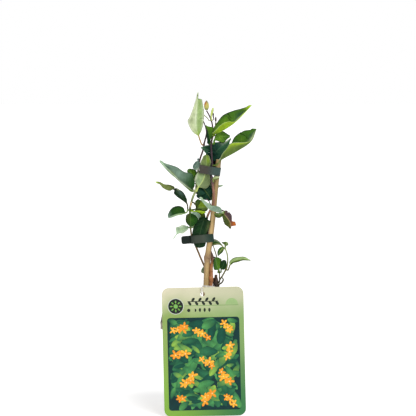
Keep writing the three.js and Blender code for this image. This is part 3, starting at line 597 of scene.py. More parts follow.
def pot_form():
    form = Form()
    panel_low, panel_high, panel_dip = 12.0, RIM_BOTTOM - 10, 0.6
    outer = [(POT_BASE_HALF - 1, 0), (POT_BASE_HALF - 0.3, 0.3), (POT_BASE_HALF, 1.2)]
    heights = [6, panel_low, panel_low + 1.5, 40, 65, panel_high - 1.5, panel_high, RIM_BOTTOM - 3]
    outer += [(pot_half_at(h), h) for h in heights]
    outer += [
        (pot_half_at(RIM_BOTTOM), RIM_BOTTOM), (POT_RIM_HALF - 0.4, RIM_BOTTOM + 0.3),
        (POT_RIM_HALF, RIM_BOTTOM + 0.9), (POT_RIM_HALF - 0.25, RIM_BOTTOM + 2.4),
        (POT_RIM_HALF - 0.1, POT_HEIGHT - 3), (POT_RIM_HALF, POT_HEIGHT - 2),
        (POT_RIM_HALF, POT_HEIGHT - 1), (POT_RIM_HALF - 0.4, POT_HEIGHT - 0.2),
        (POT_RIM_HALF - 1.2, POT_HEIGHT),
    ]
    inner = [
        (POT_RIM_HALF - 2.0, POT_HEIGHT - 0.3), (POT_RIM_HALF - POT_WALL - 1, POT_HEIGHT - 1.2),
        (POT_RIM_HALF - POT_WALL - 1, RIM_BOTTOM + 1.5), (pot_half_at(RIM_BOTTOM) - POT_WALL, RIM_BOTTOM - 1),
        (pot_half_at(60) - POT_WALL, 60), (pot_half_at(POT_FLOOR) - POT_WALL, POT_FLOOR),
    ]
    rings = []
    for half, height in outer + inner:
        pressed = panel_low < height < panel_high and (half, height) not in inner
        points = square_ring(half, pot_corner_at(half), height, panel_dip if pressed else 0.0)
        rings.append([form.add(p) for p in points])
    form.loft(rings)
    # The two caps are the floor's flat sides.
    form.flat.update((len(form.faces) - 2, len(form.faces) - 1))
    return form


def cut_drains(pot):
    """Cuts the four round drain holes through the pot's floor."""
    shell = bmesh.new()
    for x in (-DRAIN_OFFSET, DRAIN_OFFSET):
        for y in (-DRAIN_OFFSET, DRAIN_OFFSET):
            bmesh.ops.create_cone(
                shell, cap_ends=True, segments=32, radius1=DRAIN_RADIUS * MM, radius2=DRAIN_RADIUS * MM,
                depth=4 * POT_FLOOR * MM, matrix=Matrix.Translation(Vector((x, y, 0)) * MM),
            )
    mesh = bpy.data.meshes.new("drain_cutter")
    shell.to_mesh(mesh)
    shell.free()
    cutter = add_object("drain_cutter", mesh)
    cut = pot.modifiers.new("drains", "BOOLEAN")
    cut.operation, cut.solver, cut.object = "DIFFERENCE", "EXACT", cutter
    depsgraph = bpy.context.evaluated_depsgraph_get()
    pot.data = bpy.data.meshes.new_from_object(pot.evaluated_get(depsgraph))
    pot.modifiers.clear()
    bpy.data.objects.remove(cutter)


def soil_height(x, y):
    """The lumpy top of the soil, sunk a little where it meets the pot."""
    rim = pot_half_at(SOIL_LEVEL) - POT_WALL
    edge = smoothstep(0.0, 10.0, rim - max(abs(x), abs(y)))
    mound = SOIL_MOUND * bell(math.hypot(x - 6, y + 8), 26)
    lumps = 1.2 * ripple((x, y, 0), 9) + 0.7 * ripple((x, y, 5), 3.6) + 0.4 * ripple((x, y, 9), 1.7)
    return SOIL_LEVEL - 1.0 + mound + lumps * edge * 0.9 - 1.5 * (1 - edge)


def soil_form(chunks, seed):
    form = Form()
    cells = 72
    peat, dark = swatch("peat"), swatch("peat_dark")
    grid = {}
    half = pot_half_at(SOIL_LEVEL) - POT_WALL - SOIL_GAP
    corner = pot_corner_at(half)
    for i in range(cells + 1):
        for j in range(cells + 1):
            x, y = (lerp(-half, half, n / cells) for n in (i, j))
            beyond = Vector((max(abs(x) - half + corner, 0), max(abs(y) - half + corner, 0)))
            if beyond.length > 0:
                # A corner of the square is pulled in to a round one.
                pull = max(abs(x) - half + corner, abs(y) - half + corner) / beyond.length
                x = math.copysign(abs(x) - beyond.x * (1 - pull), x)
                y = math.copysign(abs(y) - beyond.y * (1 - pull), y)
            tone = dark.lerp(peat, 0.5 + 0.5 * ripple((x, y, 3), 5))
            grid[i, j] = form.add((x, y, soil_height(x, y)), tone)
    for i in range(cells):
        for j in range(cells):
            form.face((grid[i, j], grid[i + 1, j], grid[i + 1, j + 1], grid[i, j + 1]))
    rim = [grid[i, j] for j, i in grid_border(cells, cells)]
    rings = [rim]
    for height in (SOIL_LEVEL - 6, 50, POT_FLOOR + SOIL_GAP):
        shrink = (pot_half_at(height) - POT_WALL - SOIL_GAP) / half
        level = [(form.points[n].x * shrink, form.points[n].y * shrink, height) for n in rim]
        rings.append([form.add(point, dark) for point in level])
    form.loft(rings, caps=False)
    form.face(tuple(rings[-1]))
    dice = random.Random(seed)
    reach = half - 4
    for n in range(chunks):
        x, y = dice.uniform(-reach, reach), dice.uniform(-reach, reach)
        size = dice.uniform(0.7, 2.3)
        if n % 7 == 0:
            tone = swatch("perlite") * dice.uniform(0.8, 1.0)
            size *= 0.6
        elif n % 7 == 1:
            tone = swatch("bark_chip") * dice.uniform(0.7, 1.1)
        else:
            tone = dark.lerp(peat, dice.random())
        radii = (size * dice.uniform(0.8, 1.5), size * dice.uniform(0.8, 1.3), size * dice.uniform(0.5, 0.9))
        form.blob((x, y, soil_height(x, y) + radii[2] * 0.25), radii, tone, n * 0.37, 0.6)
    return form


# ---- cane ----
CANE_RADIUS = 3.5
CANE_TOP_RADIUS = 3.2
CANE_FOOT = Vector((1.6, -12, 36))
CANE_KNEE = Vector((5.9, -12, 182))
CANE_TOP = Vector((19.7, -12, 298.5))
CANE_SIDES = 40
CANE_NODE_RADIUS = 4.45             # no swelling goes beyond this radius
CANE_BOW = 1.3                      # how far the cane bows to the right above its knee
CANE_BOW_HEIGHT, CANE_BOW_SPREAD = 220.0, 42.0
# Scars and pits as height, turn about the cane from the front in degrees, size and depth.
CANE_PITS = [
    (181.0, 12, 0.5, 0.5), (179.0, -22, 0.45, 0.45), (183.6, -40, 0.5, 0.4), (178.4, 30, 0.4, 0.4),
    (156.7, 8, 0.55, 0.6), (206.0, -30, 0.4, 0.3), (242.0, 25, 0.4, 0.3), (132.0, -60, 0.5, 0.4),
    (181.5, 120, 0.5, 0.5), (180.2, 200, 0.5, 0.5), (268.0, 150, 0.4, 0.3), (225.0, 220, 0.4, 0.3),
]


def cane_axis(height):
    """The middle of the cane at a height. It bends softly at its main node."""
    blend = smoothstep(-7.0, 7.0, height - CANE_KNEE.z)
    lower = CANE_FOOT.lerp(CANE_KNEE, (height - CANE_FOOT.z) / (CANE_KNEE.z - CANE_FOOT.z))
    upper = CANE_KNEE.lerp(CANE_TOP, (height - CANE_KNEE.z) / (CANE_TOP.z - CANE_KNEE.z))
    bow = CANE_BOW * bell(height - CANE_BOW_HEIGHT, CANE_BOW_SPREAD)
    return lower.lerp(upper, blend) + Vector((bow, 0, 0))


def cane_out(turn):
    """Outwards from the cane, at a turn from the front."""
    return Vector((math.sin(turn), -math.cos(turn), 0))


def cane_radius(height, turn):
    base = lerp(CANE_RADIUS, CANE_TOP_RADIUS, smoothstep(CANE_KNEE.z, CANE_TOP.z - 40, height))
    out = cane_out(turn)
    sway = 0.1 * noise.noise(out * 0.8 + Vector((0, 0, height * 0.02)))
    knob = height - CANE_KNEE.z
    lumps = 0.75 + 0.8 * noise.noise(out * 2.1 + Vector((3, 0, height * 0.3)))
    swell = 0.75 * bell(knob, 4.2) * lumps + 0.35 * bell(knob - 0.6, 0.9) + 0.25 * bell(knob + 3.4, 0.7)
    top_ring = 0.2 * bell(height - CANE_TOP.z + 9, 1.6)
    pits = 0.0
    for level, degrees, size, depth in CANE_PITS:
        away = (turn - math.radians(degrees) + math.pi) % TAU - math.pi
        pits += depth * bell(math.hypot((height - level) * 0.8, away * base), size)
    return min(base + sway + swell + top_ring, CANE_NODE_RADIUS) - pits


def cane_tone(height, turn):
    shade = swatch("cane_shade")
    tone = swatch("cane_tan").lerp(swatch("cane_straw"), 0.5 + 0.5 * math.sin(turn * 2 + height * 0.01))
    # The cane's sides are darkened towards cane_shade, the left more than the right: painted shade.
    tone = tone.lerp(shade, 0.5 * smoothstep(0.2, 1.2, turn if turn < math.pi else 0))
    tone = tone.lerp(shade, 0.65 * smoothstep(0.5, 1.3, TAU - turn if turn > math.pi else 0))
    tone = tone.lerp(swatch("cane_green"), 0.65 * smoothstep(215, 292, height))
    return tone.lerp(swatch("cane_node"), 0.9 * bell(height - CANE_KNEE.z, 5.5))


def cane_form():
    form = Form()
    # The rings stand closer together about the main node.
    heights = [CANE_FOOT.z + 2 * i for i in range(63)]
    heights += [162 + 0.5 * i for i in range(70)]
    heights += [197 + 2.5 * i for i in range(40)] + [CANE_TOP.z - 0.4]
    rings = []
    for height in sorted(set(heights)):
        centre = cane_axis(height)
        ring = []
        for turn in turns(CANE_SIDES):
            out = cane_out(turn) * cane_radius(height, turn)
            ring.append(form.add(centre + out, cane_tone(height, turn), (*out.xy, height)))
        rings.append(ring)
    cut, hollow = swatch("cane_cut"), swatch("cane_hollow")
    for radius, drop, tone in ((2.9, 0.0, cut), (1.3, 0.0, cut), (1.2, 0.4, hollow), (1.1, 4.0, hollow)):
        centre = cane_axis(CANE_TOP.z) - Vector((0, 0, drop))
        rings.append([form.add(centre + cane_out(turn) * radius, tone) for turn in turns(CANE_SIDES)])
    form.loft(rings)
    return form


# ---- stems, as (x, y, z, radius) through their nodes ----
def seat(stem, index, direction, reach=1.6):
    """Where a stalk leaves a stem: a point on its surface and one a little further out."""
    node = Vector(stem[index][:3])
    before = Vector(stem[max(index - 1, 0)][:3])
    after = Vector(stem[min(index + 1, len(stem) - 1)][:3])
    along = (after - before).normalized()
    out = Vector(direction)
    if index < len(stem) - 1:
        out -= along * out.dot(along)
    out.normalize()
    start = stem[index][3] + 0.3
    return node + out * start, node + out * (start + reach)


def branch(parent, index, direction, radius, points):
    """A stem's route, from its seat on the stem that it grows from."""
    start, following = seat(parent, index, direction, 1.8)
    return [(*start, radius), (*following, radius), *points]


MAIN_STEM = [
    (9.8, -10, 76, 2.4), (10.0, -11, 96, 2.3), (10.3, -12, 122, 2.1), (10.4, -13, 146, 2.0),
    (10.8, -13, 157, 2.0), (11.2, -12.6, 171, 1.9), (12.2, -8.6, 181.6, 1.8), (8.8, -5.4, 193, 1.6),
    (6.6, -5, 214, 1.5), (5.8, -11, 228, 1.4), (8.7, -15.9, 236.5, 1.3), (12.6, -17.4, 244.5, 1.2),
    (14.1, -17.3, 250.5, 1.35), (13.4, -16.9, 262.8, 1.35), (12.1, -15.9, 272.3, 1.3),
    (10.9, -15.3, 280.5, 1.0), (12.2, -14.9, 291.5, 1.0), (11.3, -13.4, 306.4, 1.0),
    (10.9, -12.8, 317.3, 1.1), (12.6, -12.2, 325.5, 1.2),
]
LEFT_STEM = branch(MAIN_STEM, 4, (0.25, 1, 0), 1.2, [
    (7.6, -5.9, 163, 1.2), (1.6, -6.9, 174, 1.15), (-6.6, -9, 193.7, 1.15), (-11.6, -10.8, 206, 1.15),
    (-13.6, -11.8, 218, 1.0), (-14.2, -12, 238.6, 1.2), (-12.4, -12.4, 248, 1.3),
    (-10.5, -12.4, 254.4, 1.3), (-7.8, -12, 261, 1.3), (-6.4, -9, 270, 1.2), (-4.8, -7.4, 284, 1.0),
    (-2.4, -7.6, 298.2, 1.05), (0.9, -8.2, 308.2, 1.05), (2.2, -8.4, 315.5, 1.05), (3.6, -8.4, 321, 1.0),
    (5.4, -8.2, 329, 1.0), (4.6, -7.6, 335, 0.85), (1.9, -6.6, 343.1, 0.6),
])
OLD_STUMP = [
    (15, -4, 78, 2.8), (15.4, -5.2, 100, 2.6), (16.2, -7, 128, 2.2), (16.9, -8.4, 146, 2.3),
    (16.9, -9, 152.5, 1.8), (16.7, -9.4, 161.5, 1.6),
]
STUMP_FORK = branch(OLD_STUMP, 3, (-0.45, 0.9, 0), 1.7, [(14.4, -6, 152, 1.7), (13.9, -6, 157.4, 1.7)])
RIGHT_SHOOT = branch(OLD_STUMP, 4, (0.75, -0.6, 0), 0.8, [
    (21.3, -13, 156.4, 0.95), (24.0, -13.4, 160.5, 0.95), (28.4, -13, 168.5, 0.95),
    (29.9, -12.6, 174, 0.85), (30.4, -12.4, 180, 0.85), (29.6, -12.2, 187, 0.85), (27.4, -12, 193, 0.85),
])
INNER_RIGHT_SHOOT = branch(OLD_STUMP, 4, (0.9, 0.1, 0.2), 0.7, [
    (20.6, -10.4, 158.5, 0.8), (20.6, -10.6, 164.6, 0.8), (19.0, -8.6, 173, 0.75), (17.4, -7.6, 182.4, 0.75),
    (15.2, -7.2, 190, 0.7), (13.4, -6.8, 195.6, 0.6),
])
HOOKED_TWIG = branch(OLD_STUMP, 3, (0.5, -0.85, 0), 0.85, [
    (20.4, -15.4, 150.8, 0.95), (23.2, -16.6, 152.8, 0.95), (25.0, -16.2, 156, 0.95),
    (24.2, -15.4, 158.8, 0.7),
])
SIDE_SHOOT = branch(MAIN_STEM, 11, (0.7, -0.6, 0), 0.8, [
    (19.2, -20.2, 241.4, 0.8), (25.6, -20.6, 237.8, 0.8),
])
DRY_STALK = branch(MAIN_STEM, 11, (-0.75, -0.65, 0), 0.7, [
    (8.4, -19.4, 249.4, 0.6), (4.8, -19.6, 252.2, 0.5),
])
TOP_SHOOT = branch(MAIN_STEM, 19, (0, 0.35, 0.95), 0.8, [
    (12.4, -10.6, 337, 0.9), (10.9, -10.8, 344.4, 0.9), (8.2, -11.2, 350.6, 0.85), (5.3, -11.5, 355.8, 0.8),
])
TOP_TWIG_LEFT = branch(TOP_SHOOT, 3, (-0.9, 0.5, 0.3), 0.45, [
    (6.4, -8.8, 346.8, 0.65), (2.4, -8.2, 350.4, 0.6),
])
TOP_TWIG_DARK = branch(TOP_SHOOT, 3, (0.8, -0.2, 0.6), 0.5, [
    (13.2, -11.4, 349.4, 0.8), (13.8, -11.6, 352.6, 0.7),
])
BUD_TWIG = branch(MAIN_STEM, 19, (0.75, 0.8, 0.4), 0.6, [(15.8, -7.6, 334, 0.8), (16.2, -7.6, 342, 0.8)])

# Each stem's route, the swatches along it, and the points where it swells into a node.
STEMS = {
    "main_stem": (
        MAIN_STEM,
        "orange_bark orange_bark orange_bark orange_bark orange_bark orange_bark brown_bark maroon maroon "
        "brown_bark pink_brown pink_brown pink_brown pink_brown purple_brown plum plum plum plum stalk_dark",
        [4, 11, 14, 17, 18],
    ),
    "left_stem": (
        LEFT_STEM,
        "brown_bark black_brown stem_brown stem_brown stem_brown stalk_olive stalk_dark olive stalk_pale "
        "stalk_olive maroon maroon maroon plum plum plum",
        [5, 7, 10, 15],
    ),
    "old_stump": (OLD_STUMP, "brown_bark brown_bark black_brown brown_bark", [3, 4]),
    "stump_fork": (STUMP_FORK, "black_brown brown_bark", []),
    "right_shoot": (RIGHT_SHOOT, "stalk_dark stalk_dark stalk_olive olive stalk_pale", [4, 8]),
    "inner_right_shoot": (INNER_RIGHT_SHOOT, "stalk_dark stalk_olive stalk_olive", [3]),
    "hooked_twig": (HOOKED_TWIG, "stalk_dark", []),
    "side_shoot": (SIDE_SHOOT, "purple_brown plum", [3]),
    "dry_stalk": (DRY_STALK, "plum purple_brown", []),
    "top_shoot": (TOP_SHOOT, "purple_brown maroon plum maroon", [3]),
    "top_twig_left": (TOP_TWIG_LEFT, "stalk_olive stalk_pale", []),
    "top_twig_dark": (TOP_TWIG_DARK, "plum", []),
    "bud_twig": (BUD_TWIG, "maroon stalk_olive", []),
}
WOODY = ("main_stem", "old_stump", "stump_fork")
BARK_TOP = 190.0                    # the main stem peels below this height
ROOTED = 1.1                        # how far a shoot reaches into the stem it grows from
SKIN_ROUGH, BARK_ROUGH, STUMP_ROUGH = 0.04, 0.2, 0.45


def stem_form(name, steps):
    """A stem with its nodes. steps is the number of rings in each span."""
    route, tones, swellings = STEMS[name]
    form = Form()
    points = [Vector(p[:3]) for p in route]
    if name not in ("main_stem", "old_stump"):
        points[0] -= (points[1] - points[0]).normalized() * ROOTED
    count = (len(points) - 1) * steps
    centres = [curve_point(points, i / count) for i in range(count + 1)]
    frames = frames_along(centres)
    sides = 14 if name in WOODY else 10
    length = 0.0
    rings = []
    for i, centre in enumerate(centres):
        place = i / steps
        index = min(int(place), len(points) - 2)
        radius = lerp(route[index][3], route[index + 1][3], place - index)
        radius *= 1 + 0.32 * sum(bell((centre - points[k]).length, 1.5 * route[k][3]) for k in swellings)
        length += (centre - centres[max(i - 1, 0)]).length
        tone = tone_between(tones.split(), i / count)
        if name not in WOODY or centre.z > BARK_TOP:
            rough = SKIN_ROUGH
        else:
            rough = BARK_ROUGH if name == "main_stem" else STUMP_ROUGH
        ring = []
        for turn in turns(sides):
            right, up = math.cos(turn), math.sin(turn)
            out = frames[i][1] * right + frames[i][2] * up
            local = Vector((right, up, length * 0.12))
            size = radius * (1 + rough * noise.noise(local * 1.8 + Vector((len(name), 0, 0))))
            ring.append(form.add(centre + out * size, tone, (right * size, up * size, length)))
        rings.append(ring)
    form.loft(rings)
    return form


def add_peels(form, route, levels, seed):
    """Loose ribbons of bark that lift off a stem. levels are shares of its length."""
    dice = random.Random(seed)
    points = [Vector(p[:3]) for p in route]
    for level in levels:
        side = Vector((math.cos(dice.uniform(0, TAU)), math.sin(dice.uniform(0, TAU)), 0)).normalized()
        reach, wide = dice.uniform(0.025, 0.05), dice.uniform(0.5, 0.9)
        radius = route[min(int(level * (len(route) - 1)), len(route) - 1)][3]
        tone = swatch("orange_bark").lerp(swatch("straw"), dice.uniform(0.0, 0.6))
        across = side.cross(Vector((0, 0, 1)))
        rings = []
        for i in range(9):
            t = i / 8
            centre = curve_point(points, level + reach * t)
            lift = radius + 0.1 + 1.3 * t * t
            half = wide * (1 - 0.7 * t)
            middle = centre + side * lift
            corners = [(-half, -0.12), (half, -0.12), (half, 0.1), (-half, 0.1)]
            rings.append([form.add(middle + across * a + side * b, tone, (a, b, 20 * t)) for a, b in corners])
        form.loft(rings)


# ---- leaves ----
class Leaf(NamedTuple):
    """One leaf. A fold, a width or edges that differ between its halves are a pair: left, then right, as
    seen with the upper face towards the viewer and the tip up."""

    name: str                       # its node's name without "leaf_"
    kind: str                       # a key of LEAF_KINDS
    stem: str                       # what it grows on
    node: int                       # the stem's point that it grows from
    out: tuple                      # which way the stalk leaves the stem
    rib: list                       # the midrib from base to tip
    fold: object                    # how far each half is lifted, in degrees
    upper: str                      # swatches: left base, left tip, right base, right tip; base, tip; or one
    under: str
    face: tuple = (0, -1, 0.1)      # where the upper face points
    wide: object = None             # each half's width on a plain blade
    shape: tuple = (0.5, 0.6)       # how a plain blade's outline rises and falls
    edges: object = None            # or each half's widths at every tenth of the rib
    twist: tuple = ((0, 0), (1, 0))     # roll in degrees at places along the rib
    stalk: str = "moss"             # the stalk's swatch
    wave: float = 0.3               # how far the margin waves
    blend: float = 0.12             # how far across the halves' swatches mix
    blade_from: float = 0.0         # where along the rib the blade starts; below 0 is on the stalk
    tints: tuple = ()               # swatch, strength, place and spread along, place and spread across, face


LEAVES = [
    Leaf("top_left_upright", "mint", "left_stem", 15, (-0.8, -0.4, 0.3),
         [(-3.6, -11, 325), (-7.2, -12.6, 338), (-7, -14, 354), (-4.4, -14.4, 377.5)], 14, "fresh mid",
         "sage sage pale_sage pale_sage", face=(0.1, 1, 0),
         edges=([1, 4.9, 7.9, 9.4, 9.8, 9.8, 9.3, 8, 6.3, (0.855, 4.8), (0.86, 0.8)],
          [1, 4.5, 7, 9.4, (0.36, 10.2), (0.43, 8), 4.7, 3.4, 2.2, 1.4]), stalk="tan", wave=0.9, blend=0.35,
         tints=[("lime_deep", 0.8, 0.05, 0.09, 0, 0.8), ("moss", 0.35, 0.36, 0.1, 0.55, 0.25),
          ("cream", 0.7, 0.4, 0.4, 1, 0.2), ("cream", 0.7, 0.4, 0.4, -1, 0.2),
          ("moss", 0.3, 0.75, 0.08, -0.5, 0.3), ("moss", 0.35, 0.3, 0.08, -0.6, 0.25),
          ("cream", 0.55, 0.5, 0.3, 0, 0.14), ("forest", 0.85, 0.925, 0.02, 0, 1.2),
          ("forest", 0.7, 0.855, 0.015, -0.25, 0.3)]),
    Leaf("top_right_long", "fresh", "main_stem", 19, (0.9, -0.3, 0.4),
         [(11.1, -13.8, 326.6), (22.8, -15, 331.6), (39.8, -17, 343), (58.3, -18, 362)], (46, 60),
         "fresh mid spring lime", "lime_deep lime", face=(-0.52, -0.41, 0.75),
         edges=([3, 8.5, 12, 14.5, 15.6, 15.4, 14.2, 11.4, 7, 3.4], [2, 7, 10.3, 12, 12, (0.47, 8.6),
          (0.53, 2.5), (0.6, 1)]), wave=0.4, blade_from=-0.1,
         # The cream tint along the fold about two thirds up is a painted sheen. The lime of the right half
         # and of the under face is partly the blade's own paler colour, partly painted light shining through
         # it.
         tints=[("lime", 1, 0.97, 0.09, 0, 3), ("blue_green", 0.85, 0.72, 0.12, -0.22, 0.35),
          ("cream", 0.8, 0.68, 0.14, 0, 0.1), ("moss", 0.5, 0.05, 0.12, 0, 2),
          ("forest", 0.5, 0.5, 0.3, -1, 0.3), ("spring", 0.5, 0.35, 0.12, -0.45, 0.25)]),
    Leaf("top_right_round", "fresh", "main_stem", 18, (0.9, 0.3, 0.2),
         [(15, -10.4, 321.6), (23.6, -8.6, 325.4), (33.2, -8, 325.6)], 12, "fresh mid",
         "sage sage pale_sage mint", face=(-0.1, -1, 0),
         edges=([1, 3, 5, 6, 6.2, 6.1, 5.9, 4.3, 3.1, 1.8],
          [1.5, 3.5, 5.5, 6.8, 8, 8.2, 7.8, 6.3, 4.2, 2.3]), wave=0.4, blade_from=-0.125,
         tints=[("spring", 0.6, 0.3, 0.25, 0.2, 0.6), ("forest", 0.5, 0.95, 0.2, -0.6, 0.6)]),
    Leaf("top_left_small", "dark", "main_stem", 18, (-0.8, -0.5, 0.3),
         [(8.6, -14.6, 321.4), (7.6, -15.4, 329.4), (4.2, -15, 338.6)], (30, 25), "deep deep forest fresh",
         "sage", face=(0.1, -1, 0.1),
         edges=([3.2, 3.4, 3.6, 3.5, 3.2, 2.3, 1.4, 0.9, 0.5, 0.4],
          [1.5, 2.5, 3.4, 4.2, 5, 6.2, 7.4, 7.6, 4.6, 1.8]), blade_from=-0.125),
    Leaf("dark_pair_right", "dark", "main_stem", 17, (0.6, 0.8, 0),
         [(13.4, -9.8, 303.6), (21, -9.6, 312), (34.2, -9.4, 323.6)], 12,
         "blue_green blue_green blue_green jade", "grey_mint grey_mint mint mint", face=(-0.2, -1, 0),
         edges=([6, 8.5, 9.5, 9.5, 8.5, 6.2, 3.8, 2, 0.9, 0.5], [9, 9, 9, 9, 8.6, 8, 7.1, 6, 4, 2]),
         stalk="blue_green", wave=0.5, blade_from=-0.12,
         tints=[("cream", 0.9, 0.85, 0.2, -0.6, 0.55), ("grey_mint", 0.3, 0.6, 0.12, -0.2, 0.3),
          ("navy", 0.4, 0.05, 0.15, 0, 2)]),
    Leaf("dark_pair_left", "dark", "main_stem", 17, (-0.6, 0.8, 0),
         [(9.4, -9.6, 308), (4.6, -10.6, 310.4), (-1.6, -12, 312.2)], 5, "blue_green jade",
         "grey_mint mint", face=(0.2, -1, 0.35),
         edges=([9, 7.6, 6.4, 5.4, 4.7, 4, 3, 1.9, 1.2, 0.8], [8, 9, 7.8, 6.4, 5.5, 4.7, 4, 3.2, 2.1, 1.1]),
         stalk="blue_green", wave=0.4, blade_from=-0.05,
         tints=[("cream", 0.8, 0.75, 0.3, 1, 0.18), ("blue_green", 0.4, 0.3, 0.2, 0.3, 0.3)]),
    Leaf("right_long", "fresh", "main_stem", 16, (0.8, -0.7, 0),
         [(17.8, -17.4, 292.6), (23.4, -18.4, 298.8), (39, -20.2, 307.4), (57, -20.6, 319.4),
          (64, -19, 334.6)], (48, 76), "mid", "moss lime_deep moss moss", face=(-0.62, -0.12, 0.78),
         edges=([1, 1.2, 6, 9.5, 11.5, 15.8, 17, 17, 16.7, 13.2, (0.95, 6)],
          [1, 1.5, 7, 10.3, 13.5, 11.5, 7.4, 3.5, (0.76, 0.6)]), twist=[(0, 0), (1, 24)], wave=0.4,
         # The pale_sage tint along the fold near the tip is a painted sheen. The lime of the under face is
         # partly the blade's own paler colour, partly painted light shining through it.
         tints=[("lime", 0.8, 0.55, 0.25, 0.95, 0.3, "under"),
          ("olive_deep", 0.6, 0.1, 0.16, 0.3, 1, "under"), ("pale_sage", 0.9, 0.82, 0.12, -0.05, 0.14),
          ("blue_green", 0.8, 0.85, 0.1, -0.25, 0.12), ("forest", 0.6, 0.45, 0.12, -0.4, 0.5),
          ("spring", 0.35, 0.62, 0.08, -0.5, 0.3)]),
    Leaf("dark_behind", "dark", "main_stem", 16, (0.5, 0.85, 0),
         [(13, -8.6, 292), (12.8, -6.8, 298), (13.8, -6.2, 306)], 10, "navy", "grey_mint mint",
         edges=([7, 7, 7, 7, 7, 7.5, 8, 8.5, 9, 9], [6, 6.5, 7, 7, 7, 7, 7, 7, 7, 6]), stalk="stalk_dark",
         wave=0.2, blade_from=-0.12),
    Leaf("grey_behind", "mint", "left_stem", 13, (-0.9, -0.4, 0),
         [(-4.6, -9.6, 296.4), (-6.8, -10.4, 292), (-10.4, -10.8, 287.4)], 14, "blue_green deep",
         "teal_grey teal_grey teal_grey grey_mint", face=(0.3, 1, 0.1),
         edges=([1.5, 2.3, 3, 3.2, 3.3, 3.4, 3.2, 2.9, 2.6, 1.6], [3, 4, 5, 5.6, 6, 6, 5.8, 5.4, 5, 4.4]),
         stalk="teal_grey",
         tints=[("cream", 0.7, 0.5, 0.6, 1, 0.25), ("blue_green", 0.5, 0.85, 0.2, 0.2, 0.4)]),
    Leaf("tied_tall", "fresh", "left_stem", 10, (0.5, -0.9, 0),
         [(-4.6, -14, 265.4), (1.4, -14.2, 274.4), (4.6, -13.5, 286), (5.4, -13.2, 304.2)], 8, "mid forest",
         "olive_grey moss sage_grey moss", face=(0.1, 1, 0.1),
         edges=([3.3, 8, 9.8, 9, 6.4, 4.6, 4.2, 5, 5.8, 3.8], [5, 9, 10, 10.4, 9.8, 8, 7, 7.2, 6.7, 4.7]),
         stalk="pale_lime", wave=0.5,
         tints=[("cream", 0.75, 0.2, 0.16, 0.95, 0.2), ("sage", 0.5, 0.3, 0.1, 0.4, 0.4),
          ("lime_deep", 0.6, 0.85, 0.12, -0.35, 0.4), ("olive", 0.7, 0.82, 0.12, 0.5, 0.4),
          ("pale_lime", 0.6, 0.2, 0.3, 0, 0.06)]),
    Leaf("green_behind", "fresh", "left_stem", 11, (-0.9, 0.3, 0),
         [(-9, -6.4, 275.6), (-11.8, -6, 281.4), (-17, -6.8, 286.2)], 10, "mid", "sage",
         face=(0.1, -1, 0.1),
         edges=([2, 2.7, 3.4, 4, 4, 4, 4, 4, 3.3, 2.5], [2.5, 4.1, 5, 5.7, 5.8, 5.8, 5.2, 4.5, 3.5, 2.5]),
         tints=[("spring", 0.6, 0.5, 0.3, 0.2, 0.6), ("forest", 0.6, 0.1, 0.12, 0, 2)]),
    Leaf("left_long", "dark", "left_stem", 10, (-0.9, -0.3, 0.2),
         [(-12.6, -13.6, 262.6), (-25, -15.4, 271.6), (-37, -17, 284), (-50, -17.4, 297.4)], (15, 48),
         "moss mint forest grey_mint", "moss pale_sage mint pale_sage", face=(0.455, -0.743, 0.488),
         edges=([4, 2.5, 1.2, 1.3, 1.5, 1.6, 2.5, 3.2, 3.4, 2.4],
          [8, 12.6, 16, 15, 12.5, 11, 9.5, 7, 4.5, 2.2]), stalk="stalk_pale", wave=0.5, blade_from=-0.08,
         # The right half's run to grey_mint towards its tip, and the grey_mint tint about its middle, are a
         # painted sheen.
         tints=[("forest", 0.85, 0.05, 0.14, 0.7, 0.9), ("grey_mint", 0.75, 0.5, 0.2, 0.5, 0.5),
          ("cream", 0.85, 0.4, 0.5, 0.03, 0.05), ("mint", 0.7, 0.93, 0.12, 0, 3),
          ("blue_green", 0.6, 0.78, 0.1, 0.25, 0.25), ("olive", 0.8, 0.58, 0.1, 0.05, 0.14)]),
    Leaf("left_twisted", "dark", "left_stem", 7, (-0.8, 0.5, 0.2),
         [(-17.6, -9, 245.4), (-24, -8.6, 254), (-32.6, -9.6, 262), (-44, -10.6, 268.6), (-55.2, -11, 272)],
         22, "deep", "olive_deep olive", face=(0.2, -1, 0.3),
         edges=([1.2, 2, 3.2, 4.2, 4.6, 3.6, (0.64, 3.4), (0.77, 0.4), (0.88, 1.6)],
          [1.4, 3, 4.6, 5.4, 4.2, 3.4, (0.64, 4.8), (0.77, 4.6), (0.88, 1.5)]),
         twist=[(0, -10), (0.44, 0), (0.5, 90), (0.56, 172), (1, 185)], stalk="stalk_dark", wave=0.4,
         # The teal_grey tint on the right half, a third of the way up, is a painted sheen.
         tints=[("teal_grey", 0.75, 0.32, 0.08, 0.45, 0.35), ("lime", 0.9, 1, 0.07, 0, 3),
          ("navy", 0.7, 0.48, 0.06, 0, 3), ("pale_sage", 0.7, 0.42, 0.04, 0.9, 0.3),
          ("olive", 0.5, 0.62, 0.05, 0, 1)]),
    Leaf("left_round", "dark", "left_stem", 7, (-0.9, -0.4, -0.1),
         [(-18.6, -14, 235.6), (-29, -15.6, 234), (-40, -16, 230)], (36, 40), "sage mint forest forest",
         "cream mint mint mint", face=(0.1, -0.8, 0.6),
         edges=([1, 2.8, 3.3, 3.8, 4.1, 4.4, 4.2, 3.9, 3.7, 3.4],
          [1, 6, 8.1, 9, 9.4, 9.6, 9.5, 8.2, 6.6, 4.4]), stalk="sage", wave=0.4,
         tints=[("rim_dark", 0.7, 0.35, 0.35, 0.95, 0.18), ("mid", 0.4, 0.4, 0.2, 0.45, 0.3),
          ("grey_mint", 0.75, 0.95, 0.14, 0.5, 1)]),
    Leaf("cluster_round", "dark", "left_stem", 7, (0.1, -1, -0.2),
         [(-14, -16.4, 235.4), (-13.4, -18.2, 228), (-13, -18, 219)], 10, "forest forest olive_deep forest",
